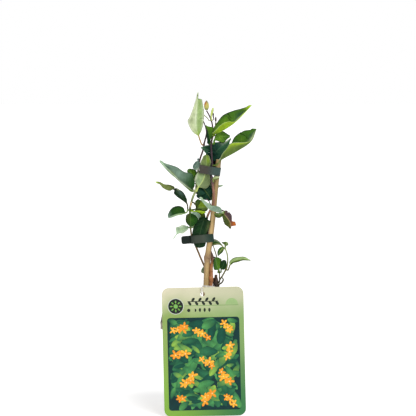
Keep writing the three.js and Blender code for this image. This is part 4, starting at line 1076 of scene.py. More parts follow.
         "grey_mint mint", face=(0, -1, 0.2),
         edges=([2, 4.5, 6.8, 8, 8.6, 8.8, 8.4, 7.2, 5.4, 3], [2, 4.2, 5.2, 5.6, 5.9, 6, 5.8, 5, 4, 2.2]),
         tints=[("mid", 0.5, 0.5, 0.25, -0.1, 0.45), ("rim_dark", 0.5, 0.5, 0.5, 1, 0.25)]),
    Leaf("mint_pointed", "mint", "left_stem", 6, (-0.9, -0.3, -0.1),
         [(-16.8, -13, 218), (-22, -14.6, 215.4), (-28, -15.4, 211.8), (-34.4, -15.4, 204.4)], 24, "mint",
         "mint cream", face=(-0.2, -0.8, 0.6),
         edges=([2, 4.7, 6.1, 7.1, 6.9, 3.2, 1.6, 0.9], [2, 4.5, 5.8, 6.1, 6.3, 6.8, (0.55, 5.4),
          (0.6, 2.8), (0.66, 0.9)]), stalk="sage", wave=0.5, blade_from=-0.1,
         tints=[("cream", 0.9, 0.15, 0.3, 1, 0.3), ("cream", 0.9, 0.3, 0.25, -1, 0.35),
          ("blue_green", 0.35, 0.45, 0.06, 0.6, 0.4), ("sage", 0.5, 0.3, 0.2, 0.2, 0.3)]),
    Leaf("tied_low", "dark", "main_stem", 9, (-0.7, -0.7, 0),
         [(3.2, -14.6, 229), (-0.6, -14.8, 218), (-3, -14.4, 206), (-3.6, -13.6, 193.8)], 5, "deep",
         "grey_mint mint", face=(0, -1, 0.05),
         edges=([8, 8.2, 8.6, 8.6, 8.2, 7.7, 7.6, 7.6, 8.2, 7.4],
          [3, 5.5, 7.4, 8.6, 9.4, 9.4, 9, 8.2, 7.4, 5.7]), stalk="stalk_dark", wave=0.4, blade_from=-0.12,
         tints=[("olive", 0.35, 0.2, 0.2, -0.9, 0.3), ("forest", 0.4, 0.35, 0.15, 0.3, 0.3)]),
    Leaf("lime_small", "fresh", "left_stem", 7, (0.8, -0.6, 0.2),
         [(-12.2, -15.4, 237.2), (-6, -17.2, 237.4), (4.6, -18, 236.4)], 20, "lime_deep lime", "lime",
         face=(0.1, -1, 0.4),
         edges=([0.8, 0.8, 0.8, 0.9, 1.2, 1.5, 1.6, 1.5, 1],
          [0.8, 0.8, 0.8, 0.9, 1.2, 1.6, 2.4, (0.72, 3.4), (0.78, 3.7), (0.88, 1.8)]), stalk="lime_deep"),
    Leaf("olive_behind", "fresh", "left_stem", 7, (0.5, 0.9, 0.2),
         [(-7.6, -8, 239.4), (-1.2, -6.4, 241.8), (7.4, -5.6, 240.6)], 10, "olive_deep lime_deep moss moss",
         "sage",
         edges=([1, 4, 7.5, 9.5, 8.8, 8, 7.2, 6.5, 5.5, 4.5], [1, 1.5, 2, 2.5, 3.2, 4, 4.5, 5, 5, 4]),
         tints=[("rim_dark", 0.7, 0.08, 0.12, 0, 3), ("lime_deep", 0.8, 0.5, 0.18, -0.2, 0.5)]),
    Leaf("olive_upright", "dark", "left_stem", 8, (0.9, -0.3, 0),
         [(-8.6, -13.2, 245.6), (-6.2, -13.4, 246.6), (-3.8, -13, 251.6)], 20, "olive_deep forest", "sage",
         wide=(2.8, 3.4), stalk="stalk_dark", wave=0.2),
    Leaf("mint_folded", "mint", "left_stem", 6, (0.9, 0.2, 0.5),
         [(-4.6, -12.4, 227.4), (-4.2, -16, 230.6), (-7.2, -19.8, 234.6), (-13, -20, 235.8)], 30,
         "grey_mint", "mint", face=(0.3, -1, 0.3), edges=[1.4, 2.2, 2.7, 3, 3, 2.8, 2.4, 2, 1.5, 1],
         stalk="sage", wave=0.2),
    Leaf("olive_low", "dark", "left_stem", 7, (1, 0.3, -0.3),
         [(-9.6, -11.6, 236.8), (-3.4, -13, 234.4), (2.8, -13, 226.6)], 12,
         "olive_deep olive_deep olive_deep forest", "sage", wide=5.5, stalk="stalk_dark", wave=0.2),
    Leaf("mint_over_cane", "mint", "side_shoot", 3, (-0.3, -0.9, -0.2),
         [(24.2, -24.4, 235.9), (10.4, -26, 239.8), (2.6, -25, 247), (-2.9, -23.4, 254.6)], 30,
         "moss fresh", "grey_mint mint", face=(0.3, 0.5, 0.8),
         edges=([3.2, 6.4, 7.6, 7.8, 7.2, 5.8, (0.56, 5.2), (0.6, 6.5), (0.64, 4.6), (0.7, 4), (0.9, 3)],
          [1.8, 2.6, 3, 3, 3.2, 3.6, 4, 4.2, 3.6, 2.4]), stalk="sage", wave=0.4,
         tints=[("teal_grey", 0.4, 0.3, 0.12, -0.7, 0.4), ("cream", 0.5, 0.6, 0.5, 1, 0.5)]),
    Leaf("green_under", "fresh", "side_shoot", 3, (-0.5, 0.2, -0.9),
         [(24, -20.2, 235.2), (19.6, -20, 233.4), (14.6, -19.6, 235)], 10, "moss", "sage",
         face=(0, -1, 0.2), wide=(3.8, 2.2), shape=(0.5, 0.5), wave=0.2, blade_from=-0.12),
    Leaf("purple_drooping", "purple", "side_shoot", 3, (0.9, -0.1, -0.4),
         [(26.2, -21, 234.6), (30, -21.4, 229.6), (33.4, -21.2, 224), (33.6, -21, 217)], (-20, 12),
         "purple_brown plum olive_deep olive_deep", "olive", face=(0.3, -1, 0.1),
         edges=([6.5, 7.6, 7.6, 7.4, 6.5, 5, (0.58, 3.6), (0.62, 4.2), (0.66, 7), (0.75, 7.6), (0.82, 7.2),
          (0.84, 1.6), (0.9, 1)], [3.4, 4.6, 5.8, 6.8, 7.2, 7.6, 7.9, 7.3, 5.8, 2.6]), stalk="purple_brown",
         wave=0.5, blade_from=-0.1,
         tints=[("rust", 1, 0.74, 0.14, -0.85, 0.7), ("black_brown", 0.9, 0.97, 0.07, 0, 3),
          ("tan", 0.6, 0.3, 0.45, 0, 0.07)]),
    Leaf("behind_cane", "mint", "left_stem", 10, (0.4, 0.9, 0),
         [(-3.4, -6.4, 262), (8, -3, 263), (17, -3.6, 265), (25, -5, 267)], 14, "deep mint deep grey_mint",
         "mint", face=(0, -1, 0.4),
         edges=([3, 8, 13, 18, 21, 22.5, 21, 10, (0.72, 5), (0.8, 2.4), (0.9, 1.6)],
          [2, 3, 4, 4.4, 4.6, 4.6, 4.6, 2.6, 1.2, 0.8]),
         tints=[("blue_green", 0.7, 0.45, 0.2, -0.6, 0.6), ("jade", 0.5, 0.6, 0.1, -0.8, 0.3)]),
    Leaf("dark_blue", "dark", "left_stem", 10, (0.9, 0.05, -0.4),
         [(0, -9.4, 265), (5, -8.6, 259.6), (11.4, -7.4, 250)], 6, "blue_green", "grey_mint mint",
         edges=([7, 7.5, 8, 8, 7.5, 7, 6, 5, 4, 2.5], [9, 10.5, 12, 12.5, 12, 11, 9.5, 7.5, 5.5, 3]),
         stalk="stalk_dark", wave=0.4, blade_from=-0.12,
         tints=[("jade", 0.5, 0.5, 0.2, -0.3, 0.4), ("moss", 0.7, 0.5, 0.6, 0, 0.05)]),
    Leaf("scrap_under_tie", "fresh", "main_stem", 14, (0.5, -0.9, 0.3),
         [(13, -18.4, 275.5), (16.6, -18.4, 276.6), (20.4, -17.6, 277.3)], 15,
         "olive pale_sage olive olive", "pale_sage cream", face=(0, -1, 0.3), wide=(2.6, 2.2),
         stalk="olive", wave=0.2, blade_from=-0.12),
    Leaf("low_mint", "mint", "main_stem", 5, (-0.1, 1, -0.2),
         [(9, -5, 168.8), (4, -2.8, 166.8), (-0.8, -3.2, 163.6)], 10, "mint sage_grey", "mint", wide=4.4,
         stalk="sage", wave=0.2),
    Leaf("arching_in", "fresh", "right_shoot", 8, (-0.9, -0.2, 0.1),
         [(24.6, -11.6, 195.4), (19.7, -9.6, 197.8), (13, -7.2, 196.6), (7, -6, 193)], 20,
         "mid mid mid forest", "pale_sage cream", face=(0.1, -1, 0.3),
         edges=([0.5, 0.5, 0.6, 0.7, 0.8, 0.9, 1, 1, 1, 0.6], [0.6, 1.2, 2.2, 4, 5.6, 6.6, 6.8, 6.4, 5, 3]),
         stalk="straw", tints=[("cream", 0.9, 0.35, 0.3, 1, 0.3), ("straw", 0.8, 0.3, 0.4, 0, 0.12)]),
    Leaf("arching_up", "fresh", "right_shoot", 8, (0.1, 0.2, 0.9),
         [(28, -11.2, 196.6), (28.8, -11, 198.6), (29.4, -11.2, 200.8)], 15, "moss moss moss sage", "sage",
         face=(0, -1, 0.2),
         edges=([1.5, 3.6, 5, 5.8, 6, 6, 5.8, 5.2, 4.2, 2.8],
          [1, 2, 2.4, 2.6, 2.6, 2.6, 2.4, 2.2, 1.8, 1.2]), stalk="stalk_pale", wave=0.2, blade_from=-0.12),
    Leaf("arching_down", "fresh", "right_shoot", 8, (-0.6, -1, 0.1),
         [(24.6, -15.6, 194), (22.3, -16.2, 191.4), (20.2, -16.2, 188.2), (18.9, -16, 184.6)], 15,
         "moss forest mid forest", "sage", edges=[1.5, 2.6, 3, 3.2, 3.2, 3, 2.6, 2.2, 1.6, 1],
         stalk="stalk_pale", wave=0.2, blade_from=-0.1, tints=[("pale_lime", 0.7, 0.3, 0.4, 0, 0.08)]),
    Leaf("low_pair_left", "fresh", "inner_right_shoot", 3, (-0.7, -0.6, 0.3),
         [(19.4, -13.4, 167.4), (17.4, -14.4, 174), (15.6, -14.6, 182.6)], 12, "mid forest fresh mid",
         "sage", face=(0.1, -1, 0.1),
         edges=([1, 4, 5, 4.8, 4.6, 4.2, 3.8, 3.4, 2.9, 2], [1, 2.6, 3.4, 4, 4.4, 5, 5.8, 6.6, 7, 5]),
         wave=0.4),
    Leaf("low_pair_right", "dark", "inner_right_shoot", 3, (0.7, -0.6, 0.3),
         [(22.6, -12.4, 168), (25.2, -12.8, 173), (27.4, -12.8, 179.4)], 14, "forest deep", "sage",
         face=(-0.2, -1, 0.1),
         edges=([1, 3, 4.4, 5.2, 5.6, 5.6, 5.4, 5, 4.2, 2.8],
          [1.5, 3, 3.8, 4.2, 4.2, 4, 3.8, 3.4, 2.8, 2])),
    Leaf("right_arching", "fresh", "right_shoot", 4, (0.8, -0.2, 0.5),
         [(33, -13.8, 173.4), (35.8, -14.4, 177.3), (42.5, -14.8, 179.6), (50, -14.8, 180.6),
          (57.6, -14.6, 179)], 20, "sage sage moss moss", "sage", face=(0.1, -0.7, 0.7),
         edges=[1, 2.6, 3.4, 3.9, 4, 3.9, 3.5, 3, 2.2, 1.2], stalk="stalk_olive"),
    Leaf("young_top", "fresh", "top_shoot", 3, (0.1, -0.9, 0.2),
         [(10.8, -14, 348.4), (11.8, -14.4, 353.6), (13.2, -14.4, 359.6)], 10, "pale_lime", "pale_lime",
         wide=1.5, shape=(0.5, 0.5), stalk="pale_lime", wave=0.1),
]
STALK_RADIUS = 0.8
STALK_ROOTED = 0.9                  # how far a stalk reaches into its stem
RIB_RADIUS = 0.5
TIP_WIDTH = 0.12                    # a blade's least half width
ROUND_FOLD = 0.1                    # how softly the two halves meet at the midrib


def outline(t, shape):
    """The blade's half width at t from 0 (base) to 1 (tip), as a share of the widest."""
    rise, fall = shape
    widest = rise / (rise + fall)
    peak = widest**rise * (1 - widest) ** fall
    return max(t, 0.0) ** rise * max(1 - t, 0.0) ** fall / peak


def edge_value(widths, t):
    """A half width at t, from one at each tenth of the rib. A pair has a place of its own."""
    knots = [w if isinstance(w, tuple) else (i / 10, w) for i, w in enumerate(widths)]
    last = knots[-1][0]
    past = min(max((t - last) / (1 - last), 0.0), 1.0)
    return knot_value(knots, t) * (1 - past * past) ** 0.6


def leaf_tone(leaf, upper, across, t):
    """The blade's colour: each half runs from its base swatch to its tip swatch, with tints on top."""
    face = "upper" if upper else "under"
    names = getattr(leaf, face).split()
    left, right = tone_between(names[:2], t), tone_between(names[-2:], t)
    tone = left.lerp(right, smoothstep(-leaf.blend, leaf.blend, across))
    for name, strength, place, length, side, spread, *faces in leaf.tints:
        if not faces or face in faces:
            share = strength * bell(t - place, length) * bell(across - side, spread)
            tone = tone.lerp(swatch(name), share)
    return tone


class LeafShape:
    """One leaf's sections: where a point of the blade lies, from its place across and along."""

    def __init__(self, leaf, thickness, seed):
        self.leaf, self.thickness, self.seed = leaf, thickness, seed
        start, following = seat(STEMS[leaf.stem][0], leaf.node, leaf.out)
        inside = start - (following - start).normalized() * STALK_ROOTED
        self.through = [inside, following, *(Vector(p) for p in leaf.rib)]
        self.folds = [math.radians(f) for f in pair(leaf.fold)]
        self.face = Vector(leaf.face)

    def half_width(self, side, t):
        if self.leaf.edges:
            wide = edge_value(pair(self.leaf.edges)[side], t)
        else:
            wide = pair(self.leaf.wide)[side] * outline(t, self.leaf.shape)
        return max(wide, lerp(STALK_RADIUS, TIP_WIDTH, smoothstep(0.0, 0.5, t)))

    def section(self, centre, tangent, t, count):
        """The ring of points round the blade at t, upper side first, with their tones and places."""
        side = tangent.cross(self.face).normalized()
        normal = side.cross(tangent)
        roll = Matrix.Rotation(math.radians(knot_value(self.leaf.twist, t)), 3, tangent)
        side, normal = roll @ side, roll @ normal
        start = self.leaf.blade_from
        blade, grown = smoothstep(start, start + 0.1, t), smoothstep(start - 0.02, start + 0.08, t)
        stalk = swatch(self.leaf.stalk)
        ring = []
        for i in range(2 * count):
            upper = i <= count
            step = i if upper else 2 * count - i
            across = 2 * step / count - 1
            angle = math.pi * step / count
            round_point = -side * math.cos(angle) * STALK_RADIUS
            round_point += normal * math.sin(angle) * STALK_RADIUS * (1 if upper else -1)
            point = centre + round_point.lerp(self.blade_point(across, t, upper, side, normal), blade)
            tone = stalk.lerp(leaf_tone(self.leaf, upper, across, t), grown)
            ring.append((point, tone, (across, t, self.half_width(0 if across < 0 else 1, t))))
        return ring

    def blade_point(self, across, t, upper, side, normal):
        """A point of the thin blade, from the midrib."""
        which = 0 if across < 0 else 1
        share = abs(across)
        wide = self.half_width(which, t)
        fold = self.folds[which]
        bend = (math.hypot(share, ROUND_FOLD) - ROUND_FOLD) / (math.hypot(1, ROUND_FOLD) - ROUND_FOLD)
        lift = wide * math.sin(fold) * bend
        swell = smoothstep(0.0, 0.2, t) * smoothstep(0.0, 0.15, 1 - t)
        wave = self.leaf.wave * math.sin(TAU * (2.3 * t + 0.31 * self.seed) + 1.9 * which)
        lift += wave * share * share * swell
        veins = math.cos(TAU * (LATERALS * t - LATERAL_SWEEP * share))
        lift -= 0.028 * wide * veins * share * (1 - share) * 4 * swell
        half = self.thickness / 2 * math.sqrt(max(1 - share**8, 0.0))
        rib = bell(share * wide, RIB_RADIUS * 1.1) * (1 - 0.75 * t)
        depth = half - 0.16 * rib if upper else -half - RIB_RADIUS * 0.8 * rib
        return side * across * wide * math.cos(fold) + normal * (lift + depth)


def rib_places(leaf, count):
    """Even places along the rib, with more beside each sudden step of the outline."""
    steps = [w[0] for side in pair(leaf.edges or []) for w in side if isinstance(w, tuple)]
    return sorted({i / count for i in range(count + 1)} | {s + d for s in steps for d in (-0.006, 0.006)})


def leaf_form(leaf, thickness, along_count, across_count, seed):
    shape = LeafShape(leaf, thickness, seed)
    spans = len(shape.through) - 1
    base = 2 / spans
    stalk_steps = 7
    fine = [lerp(base, 1, i / 200) for i in range(201)]
    walked = [0.0]
    for here, following in zip(fine, fine[1:]):
        step = curve_point(shape.through, following) - curve_point(shape.through, here)
        walked.append(walked[-1] + step.length)
    share_at = [(length / walked[-1], share) for length, share in zip(walked, fine)]
    places = rib_places(leaf, along_count)
    shares = [base * i / stalk_steps for i in range(stalk_steps)]
    shares += [knot_value(share_at, t) for t in places]
    centres = [curve_point(shape.through, share) for share in shares]
    form = Form()
    rings = []
    for i, centre in enumerate(centres):
        before, after = centres[max(i - 1, 0)], centres[min(i + 1, len(centres) - 1)]
        # On the stalk t is below 0.
        t = places[i - stalk_steps] if i >= stalk_steps else (shares[i] - base) / 4
        ring = shape.section(centre, (after - before).normalized(), t, across_count)
        rings.append([form.add(*point) for point in ring])
    form.loft(rings, slot_of=lambda j: 0 if j < across_count else 1)
    return form


# ---- buds ----
# Each bud: where it sits, which way it points, its length and radius, and its swatches from base to tip.
BUDS = [
    ("bud_top", TOP_SHOOT, 5, (0, 0, 1), 11.4, 3.2, "olive bud_gold bud_gold olive_deep"),
    ("bud_top_small", BUD_TWIG, 3, (0, 0, 1), 6.6, 1.2, "maroon purple_brown maroon"),
    ("bud_cane_node", MAIN_STEM, 6, (1, -0.4, 0.3), 3.0, 1.0, "maroon plum"),
    ("bud_left_sheath", LEFT_STEM, 8, (-0.25, -0.5, -1), 8.0, 1.2, "straw tan straw"),
]


def bud_form(bud):
    """A bud wrapped in pairs of scales that overlap upwards."""
    name, stem, index, direction, length, radius, tones = bud
    start, _ = seat(stem, index, direction)
    axis = Vector(direction).normalized()
    start -= axis * 0.6
    side = axis.cross(Vector((0, -1, 0.01))).normalized()
    up = axis.cross(side)
    form = Form()
    count, sides = 26, 20
    rings = []
    for i in range(count + 1):
        t = i / count
        size = max(radius * math.sin(math.pi * min(t * 0.86 + 0.14, 1.0)) ** 0.75, 0.08)
        ring = []
        for turn in turns(sides):
            crease = abs(math.sin(turn)) ** 0.5
            step = smoothstep(0.0, 0.06, (t * 3 + 0.18 * math.cos(2 * turn)) % 1.0)
            wrap = 0.86 + 0.1 * crease + 0.06 * step
            out = side * math.cos(turn) + up * math.sin(turn)
            blush = bell(t - 0.72, 0.22) * smoothstep(0.1, 0.9, -out.x * 0.8 - out.y * 0.5)
            tone = tone_between(tones.split(), t)
            if name == "bud_top":
                tone = tone.lerp(swatch("rust"), 0.85 * blush)
            tone *= 0.72 + 0.28 * step
            place = (math.cos(turn) * size, math.sin(turn) * size, t * length)
            ring.append(form.add(start + axis * t * length + out * size * wrap, tone, place))
        rings.append(ring)
    form.loft(rings)
    return form


# ---- ties ----
TIE_HEIGHT = 9.6
TIE_THICKNESS = 0.6
# Each tie: its middle, its slope in degrees, its tail's length, and the circles that it is stretched round.
TIES = [
    {"name": "tie_band_upper", "middle": (10, -13, 285.3), "slope": 8, "tail": 0,
     "circles": [(18.25, -12, 3.25), (11.5, -15.4, 1.7), (-1.4, -12.4, 1.3)]},
    {"name": "tie_band_lower", "middle": (0, -12, 204.8), "slope": -5, "tail": 10.8,
     "circles": [(9.6, -12, 3.8), (-10.4, -14.2, 1.9), (-11.6, -10.8, 2.1)]},
]


def tape_outline(circles):
    """The inner line of a tape stretched round circles, as evenly spaced points."""
    points = []
    for x, y, radius in circles:
        for angle in turns(72):
            points.append(Vector((x + radius * math.cos(angle), y + radius * math.sin(angle))))
    hull = [points[i] for i in geometry.convex_hull_2d(points)]
    lengths = [(hull[(i + 1) % len(hull)] - hull[i]).length for i in range(len(hull))]
    count = 150
    spacing = sum(lengths) / count
    made = []
    walked, target = 0.0, 0.0
    for i, length in enumerate(lengths):
        while target < walked + length and len(made) < count:
            made.append(hull[i].lerp(hull[(i + 1) % len(hull)], (target - walked) / length))
            target += spacing
        walked += length
    return made


def tape_section():
    """The tape's own section as (out, up) pairs, with soft edges."""
    half, corner = TIE_HEIGHT / 2, 0.2
    heights = [lerp(-half + corner, half - corner, i / 6) for i in range(7)]
    outer = [(TIE_THICKNESS, h) for h in heights]
    inner = [(0.05, h) for h in reversed(heights)]
    back = TIE_THICKNESS - 0.1
    return [*outer, (back, half), (0.15, half), *inner, (0.15, -half), (back, -half)]


def tie_form(tie):
    form = Form()
    path = tape_outline(tie["circles"])
    middle = Vector(tie["middle"])
    tilt = Matrix.Rotation(math.radians(tie["slope"]), 3, "Y")
    section = tape_section()
    upper = tie["name"] == "tie_band_upper"
    rings = []
    for i, point in enumerate(path):
        ahead, behind = path[(i + 1) % len(path)], path[i - 1]
        tangent = (ahead - behind).normalized()
        out = Vector((tangent.y, -tangent.x))
        if (point - middle.xy).dot(out) < 0:
            out = -out
        if upper:
            tone = swatch("tape_grey").lerp(swatch("tape_green"), smoothstep(4, 16, point.x))
        else:
            tone = swatch("tape_dark").lerp(swatch("tape_moss"), smoothstep(-16, -6, point.x))
            tone = tone.lerp(swatch("tape_deep"), smoothstep(0, 12, point.x))
            # The lower tape is lighter a little right of its middle: a painted highlight.
            tone *= 1 + 0.35 * bell(point.x - 3.5, 5)
        ring = []
        for offset, height in section:
            sag = 0.18 * (1 - (height / TIE_HEIGHT * 2) ** 2) * ripple((i * 0.5, height, 0), 9)
            flat = Vector((*(point + out * (offset + sag)), 0)) - Vector((*middle.xy, 0))
            local = tilt @ (flat + Vector((0, 0, height)))
            ring.append(form.add(middle + local, tone, (i * 0.6, height, offset)))
        rings.append(ring)
    form.loft(rings, loop=True)
    if tie["tail"]:
        add_tail(form, tie, middle, tilt)
    return form


def rounded_rectangle(low, high, radius, per_corner=6):
    """The outline of a rectangle with round corners, as points in its own plane."""
    points = []
    (left, bottom), (right, top) = low, high
    for x, y, start in ((right, bottom, -0.5), (right, top, 0.0), (left, top, 0.5), (left, bottom, 1.0)):
        centre = Vector((
            min(max(x, left + radius), right - radius),
            min(max(y, bottom + radius), top - radius),
        ))
        for i in range(per_corner + 1):
            angle = (start + 0.5 * i / per_corner) * math.pi
            points.append(centre + unit(angle) * radius)
    return points


def add_slab(form, loops, place_point, thickness, tone_of, place_of, bevel=0.1):
    """A thin plate in the plane of its loops: an outline first, then any holes in it."""
    half = thickness / 2
    levels = [(-half, bevel), (-half + bevel, 0), (half - bevel, 0), (half, bevel)]
    faces = []
    for number, loop in enumerate(loops):
        rings = []
        for depth, inset in levels:
            ring = []
            for i, point in enumerate(loop):
                tangent = (loop[(i + 1) % len(loop)] - loop[i - 1]).normalized()
                inward = Vector((-tangent.y, tangent.x)) * (1 if number == 0 else -1)
                moved = point + inward * inset
                ring.append(form.add(place_point(moved, depth), tone_of(moved), place_of(moved, depth)))
            rings.append(ring)
        form.loft(rings, caps=False)
        faces.append(rings)
    for level in (0, -1):
        order = [n for rings in faces for n in rings[level]]
        flat = [[Vector((*p, 0)) for p in loop] for loop in loops]
        for corners in geometry.tessellate_polygon(flat):
            form.face(tuple(order[n] for n in corners), flat=True)


def add_tail(form, tie, middle, tilt):
    """The two ends of the tape, laid on each other and pressed flat."""
    x, y, radius = tie["circles"][-1]
    right = x - radius + 1.4
    left = x - radius - tie["tail"]
    half = TIE_HEIGHT / 2
    for layer, (shift, tone) in enumerate(((-0.3, SWATCHES["tape_dark"]), (0.3, SWATCHES["tape_end"]))):
        low, high = (left + 0.7 * layer, -half + 0.5 * layer), (right, half - 0.1 - 0.3 * layer)
        outline_points = rounded_rectangle(low, high, 2.4)

        def place_point(point, depth, shift=shift):
            flat = Vector((point.x - middle.x, y + shift + depth - middle.y, point.y))
            return middle + tilt @ flat

        add_slab(form, [outline_points], place_point, 0.5, lambda p, tone=tone: tone,
                 lambda p, d: (p.x, p.y, 0))


# ---- label and its strap ----
LABEL_WIDTH = 95.0
LABEL_HEIGHT = 150.0
LABEL_THICKNESS = 0.8
LABEL_CORNER = 8.0
LABEL_HOLE_RADIUS = 2.7
LABEL_HOLE_DROP = 8.0
LABEL_MIDDLE = Vector((2.3, -52.2, 76.3))
LABEL_LEAN = math.radians(-3.2)
LABEL_ROLL = math.radians(-1.3)
LABEL_TURN = Matrix.Rotation(LABEL_LEAN, 3, "X") @ Matrix.Rotation(LABEL_ROLL, 3, "Y")
PICTURE_LOW, PICTURE_HIGH = (-42.0, -68.0), (42.0, 40.0)
INK_STEP = 0.0012                   # each printed layer lies this far in front of the one below it
INK_GAP = 0.012                     # the lowest layer's distance from the card
PRINTED_LEAVES = 260
STRAP_HALF = (0.95, 0.45)           # half the strap's width and half its thickness
# A closed loop through the label's hole and round the cane and the main stem.
STRAP_ROUTE = [
    (-0.2, -48.2, 142.6), (-0.2, -50, 147), (0.6, -48.6, 152.8), (3.6, -40, 151.6), (9, -28, 149.6),
    (14.6, -18, 148.2), (13.8, -9.4, 147), (8, -6, 146.6), (2, -6.6, 146.2), (-0.6, -13, 145.6),
    (-1, -28, 144.6), (-0.8, -43, 142.8),
]


def on_label(point, front):
    """A point of the label: right and up from its middle, and how far in front of its mid-plane."""
    return LABEL_MIDDLE + LABEL_TURN @ Vector((point[0], -front, point[1]))


def label_form():
    form = Form()
    half = (LABEL_WIDTH / 2, LABEL_HEIGHT / 2)
    edge = rounded_rectangle((-half[0], -half[1]), half, LABEL_CORNER, 14)
    radius, level = LABEL_HOLE_RADIUS, half[1] - LABEL_HOLE_DROP
    hole = [Vector((radius * math.cos(angle), level + radius * math.sin(angle))) for angle in turns(36)]

    def place_of(point, depth):
        share_right = point.x / LABEL_WIDTH + 0.5
        share_up = point.y / LABEL_HEIGHT + 0.5
        return share_right, share_up, 1.0 if depth > 0 else 0.0

    add_slab(form, [edge, hole], on_label, LABEL_THICKNESS, lambda p: (1, 1, 1), place_of, 0.15)
    return form


class Ink:
    """Shapes printed on the label's front, each on a layer of its own."""

    def __init__(self):
        self.form = Form()

    def lift(self, layer):
        """How far a layer lies in front of the card's mid-plane."""
        return LABEL_THICKNESS / 2 + INK_GAP + INK_STEP * layer

    def flat_shape(self, points, tone, layer):
        """A plain shape inside an outline."""
        def place_point(point, depth):
            return on_label(point, self.lift(layer) + depth)

        add_slab(self.form, [points], place_point, INK_STEP * 0.8, lambda p: tone,
                 lambda p, d: (p.x, p.y, 0), INK_STEP * 0.1)

    def blade(self, start, direction, length, wide, tones, layer, bend=0.0):
        """A pointed petal or leaf with a lighter midline, from its base along a direction."""
        along = unit(direction)
        across = Vector((-along.y, along.x))
        rows, columns = 9, 5
        front, back = [], []
        for side, store in ((0.5, front), (-0.5, back)):
            for i in range(rows):
                t = i / (rows - 1)
                half = wide * outline(lerp(0.03, 0.985, t), (0.75, 0.55))
                middle = Vector(start) + along * length * t + across * bend * t * t * length
                row = []
                for j in range(columns):
                    share = 2 * j / (columns - 1) - 1
                    point = middle + across * half * share
                    tone = tone_between(tones, t) * (1.12 - 0.3 * abs(share))
                    lift = self.lift(layer) + side * INK_STEP * 0.8
                    row.append(self.form.add(on_label(point, lift), tone))
                store.append(row)
        for i in range(rows - 1):
            for j in range(columns - 1):
                for rows_of in (front, back):
                    corners = (rows_of[i][j], rows_of[i][j + 1], rows_of[i + 1][j + 1], rows_of[i + 1][j])
                    self.form.face(corners, flat=True)
        border = grid_border(rows - 1, columns - 1)
        for n, (i, j) in enumerate(border):
            k, m = border[(n + 1) % len(border)]
            self.form.face((front[i][j], front[k][m], back[k][m], back[i][j]))

    def disc(self, centre, radius, tone, layer, start=0.0, sweep=TAU, count=40):
        """A disc, or the part of one that an angle sweeps over."""
        steps = range(count if sweep == TAU else count + 1)
        points = [Vector(centre) + unit(start + sweep * i / count) * radius for i in steps]
        self.flat_shape(points, tone, layer)


def print_picture(seed):
    """A generic picture: loose sprays of orange star-shaped blossom on dark foliage."""
    ink = Ink()
    dice = random.Random(seed)
    frame_line = rounded_rectangle(PICTURE_LOW, PICTURE_HIGH, 3.6, 8)
    ink.flat_shape(frame_line, SWATCHES["print_night"], 0)
    low, high = Vector(PICTURE_LOW), Vector(PICTURE_HIGH)

    def inside(point, margin):
        return all(a + margin < p < b - margin for a, p, b in zip(low, point, high))

    greens = [["print_deep", "print_teal"], ["print_deep", "print_green"], ["print_teal", "print_green"],
              ["print_teal", "print_lime"], ["print_deep", "print_deep"]]
    drawn = 0
    while drawn < PRINTED_LEAVES:
        start = Vector((dice.uniform(low.x, high.x), dice.uniform(low.y, high.y)))
        turn, length = dice.uniform(0, TAU), dice.uniform(12, 22)
        bend, wide = dice.uniform(-0.15, 0.15), length * dice.uniform(0.16, 0.26)
        along = unit(turn) * length
        rooms = ((0, 1), (0.55, 1 + wide), (1, 1))
        if all(inside(start + along * share, room) for share, room in rooms):
            tones = greens[dice.randrange(len(greens))]
            ink.blade(start, turn, length, wide, tones, 1 + drawn, bend)
            drawn += 1
    sprays = [(-27, 27, 0.4), (-2, 20, -0.5), (27, 29, 2.4), (31, 3, 1.2), (-30, -5, 0.2), (3, -12, -0.3),
              (-19, -33, 0.9), (24, -31, -0.8), (-33, -56, 0.3), (4, -52, 0.6), (32, -58, 2.2)]
    for x, y, lean in sprays:
        for blossom in range(4):
            centre = Vector((x, y)) + unit(lean) * (blossom - 1.5) * 5.2
            centre += Vector((dice.uniform(-2.4, 2.4), dice.uniform(-2.4, 2.4)))
            size = dice.uniform(4.2, 6.2)
            first = dice.uniform(0, TAU)
            if not inside(centre, size * 1.1 + 1.2):
                continue
            layer = 1 + drawn + blossom * 6
            tones = [["print_amber", "print_orange"], ["print_orange", "print_flame"],
                     ["print_orange", "print_amber"]][dice.randrange(3)]
            for petal in range(5):
                turn = first + petal * TAU / 5 + dice.uniform(-0.25, 0.25)
                ink.blade(centre, turn, size * dice.uniform(0.8, 1.15), size * 0.24, tones, layer + petal)
            ink.disc(centre, size * 0.13, SWATCHES["print_peach"], layer + 5, count=10)
    return ink.form


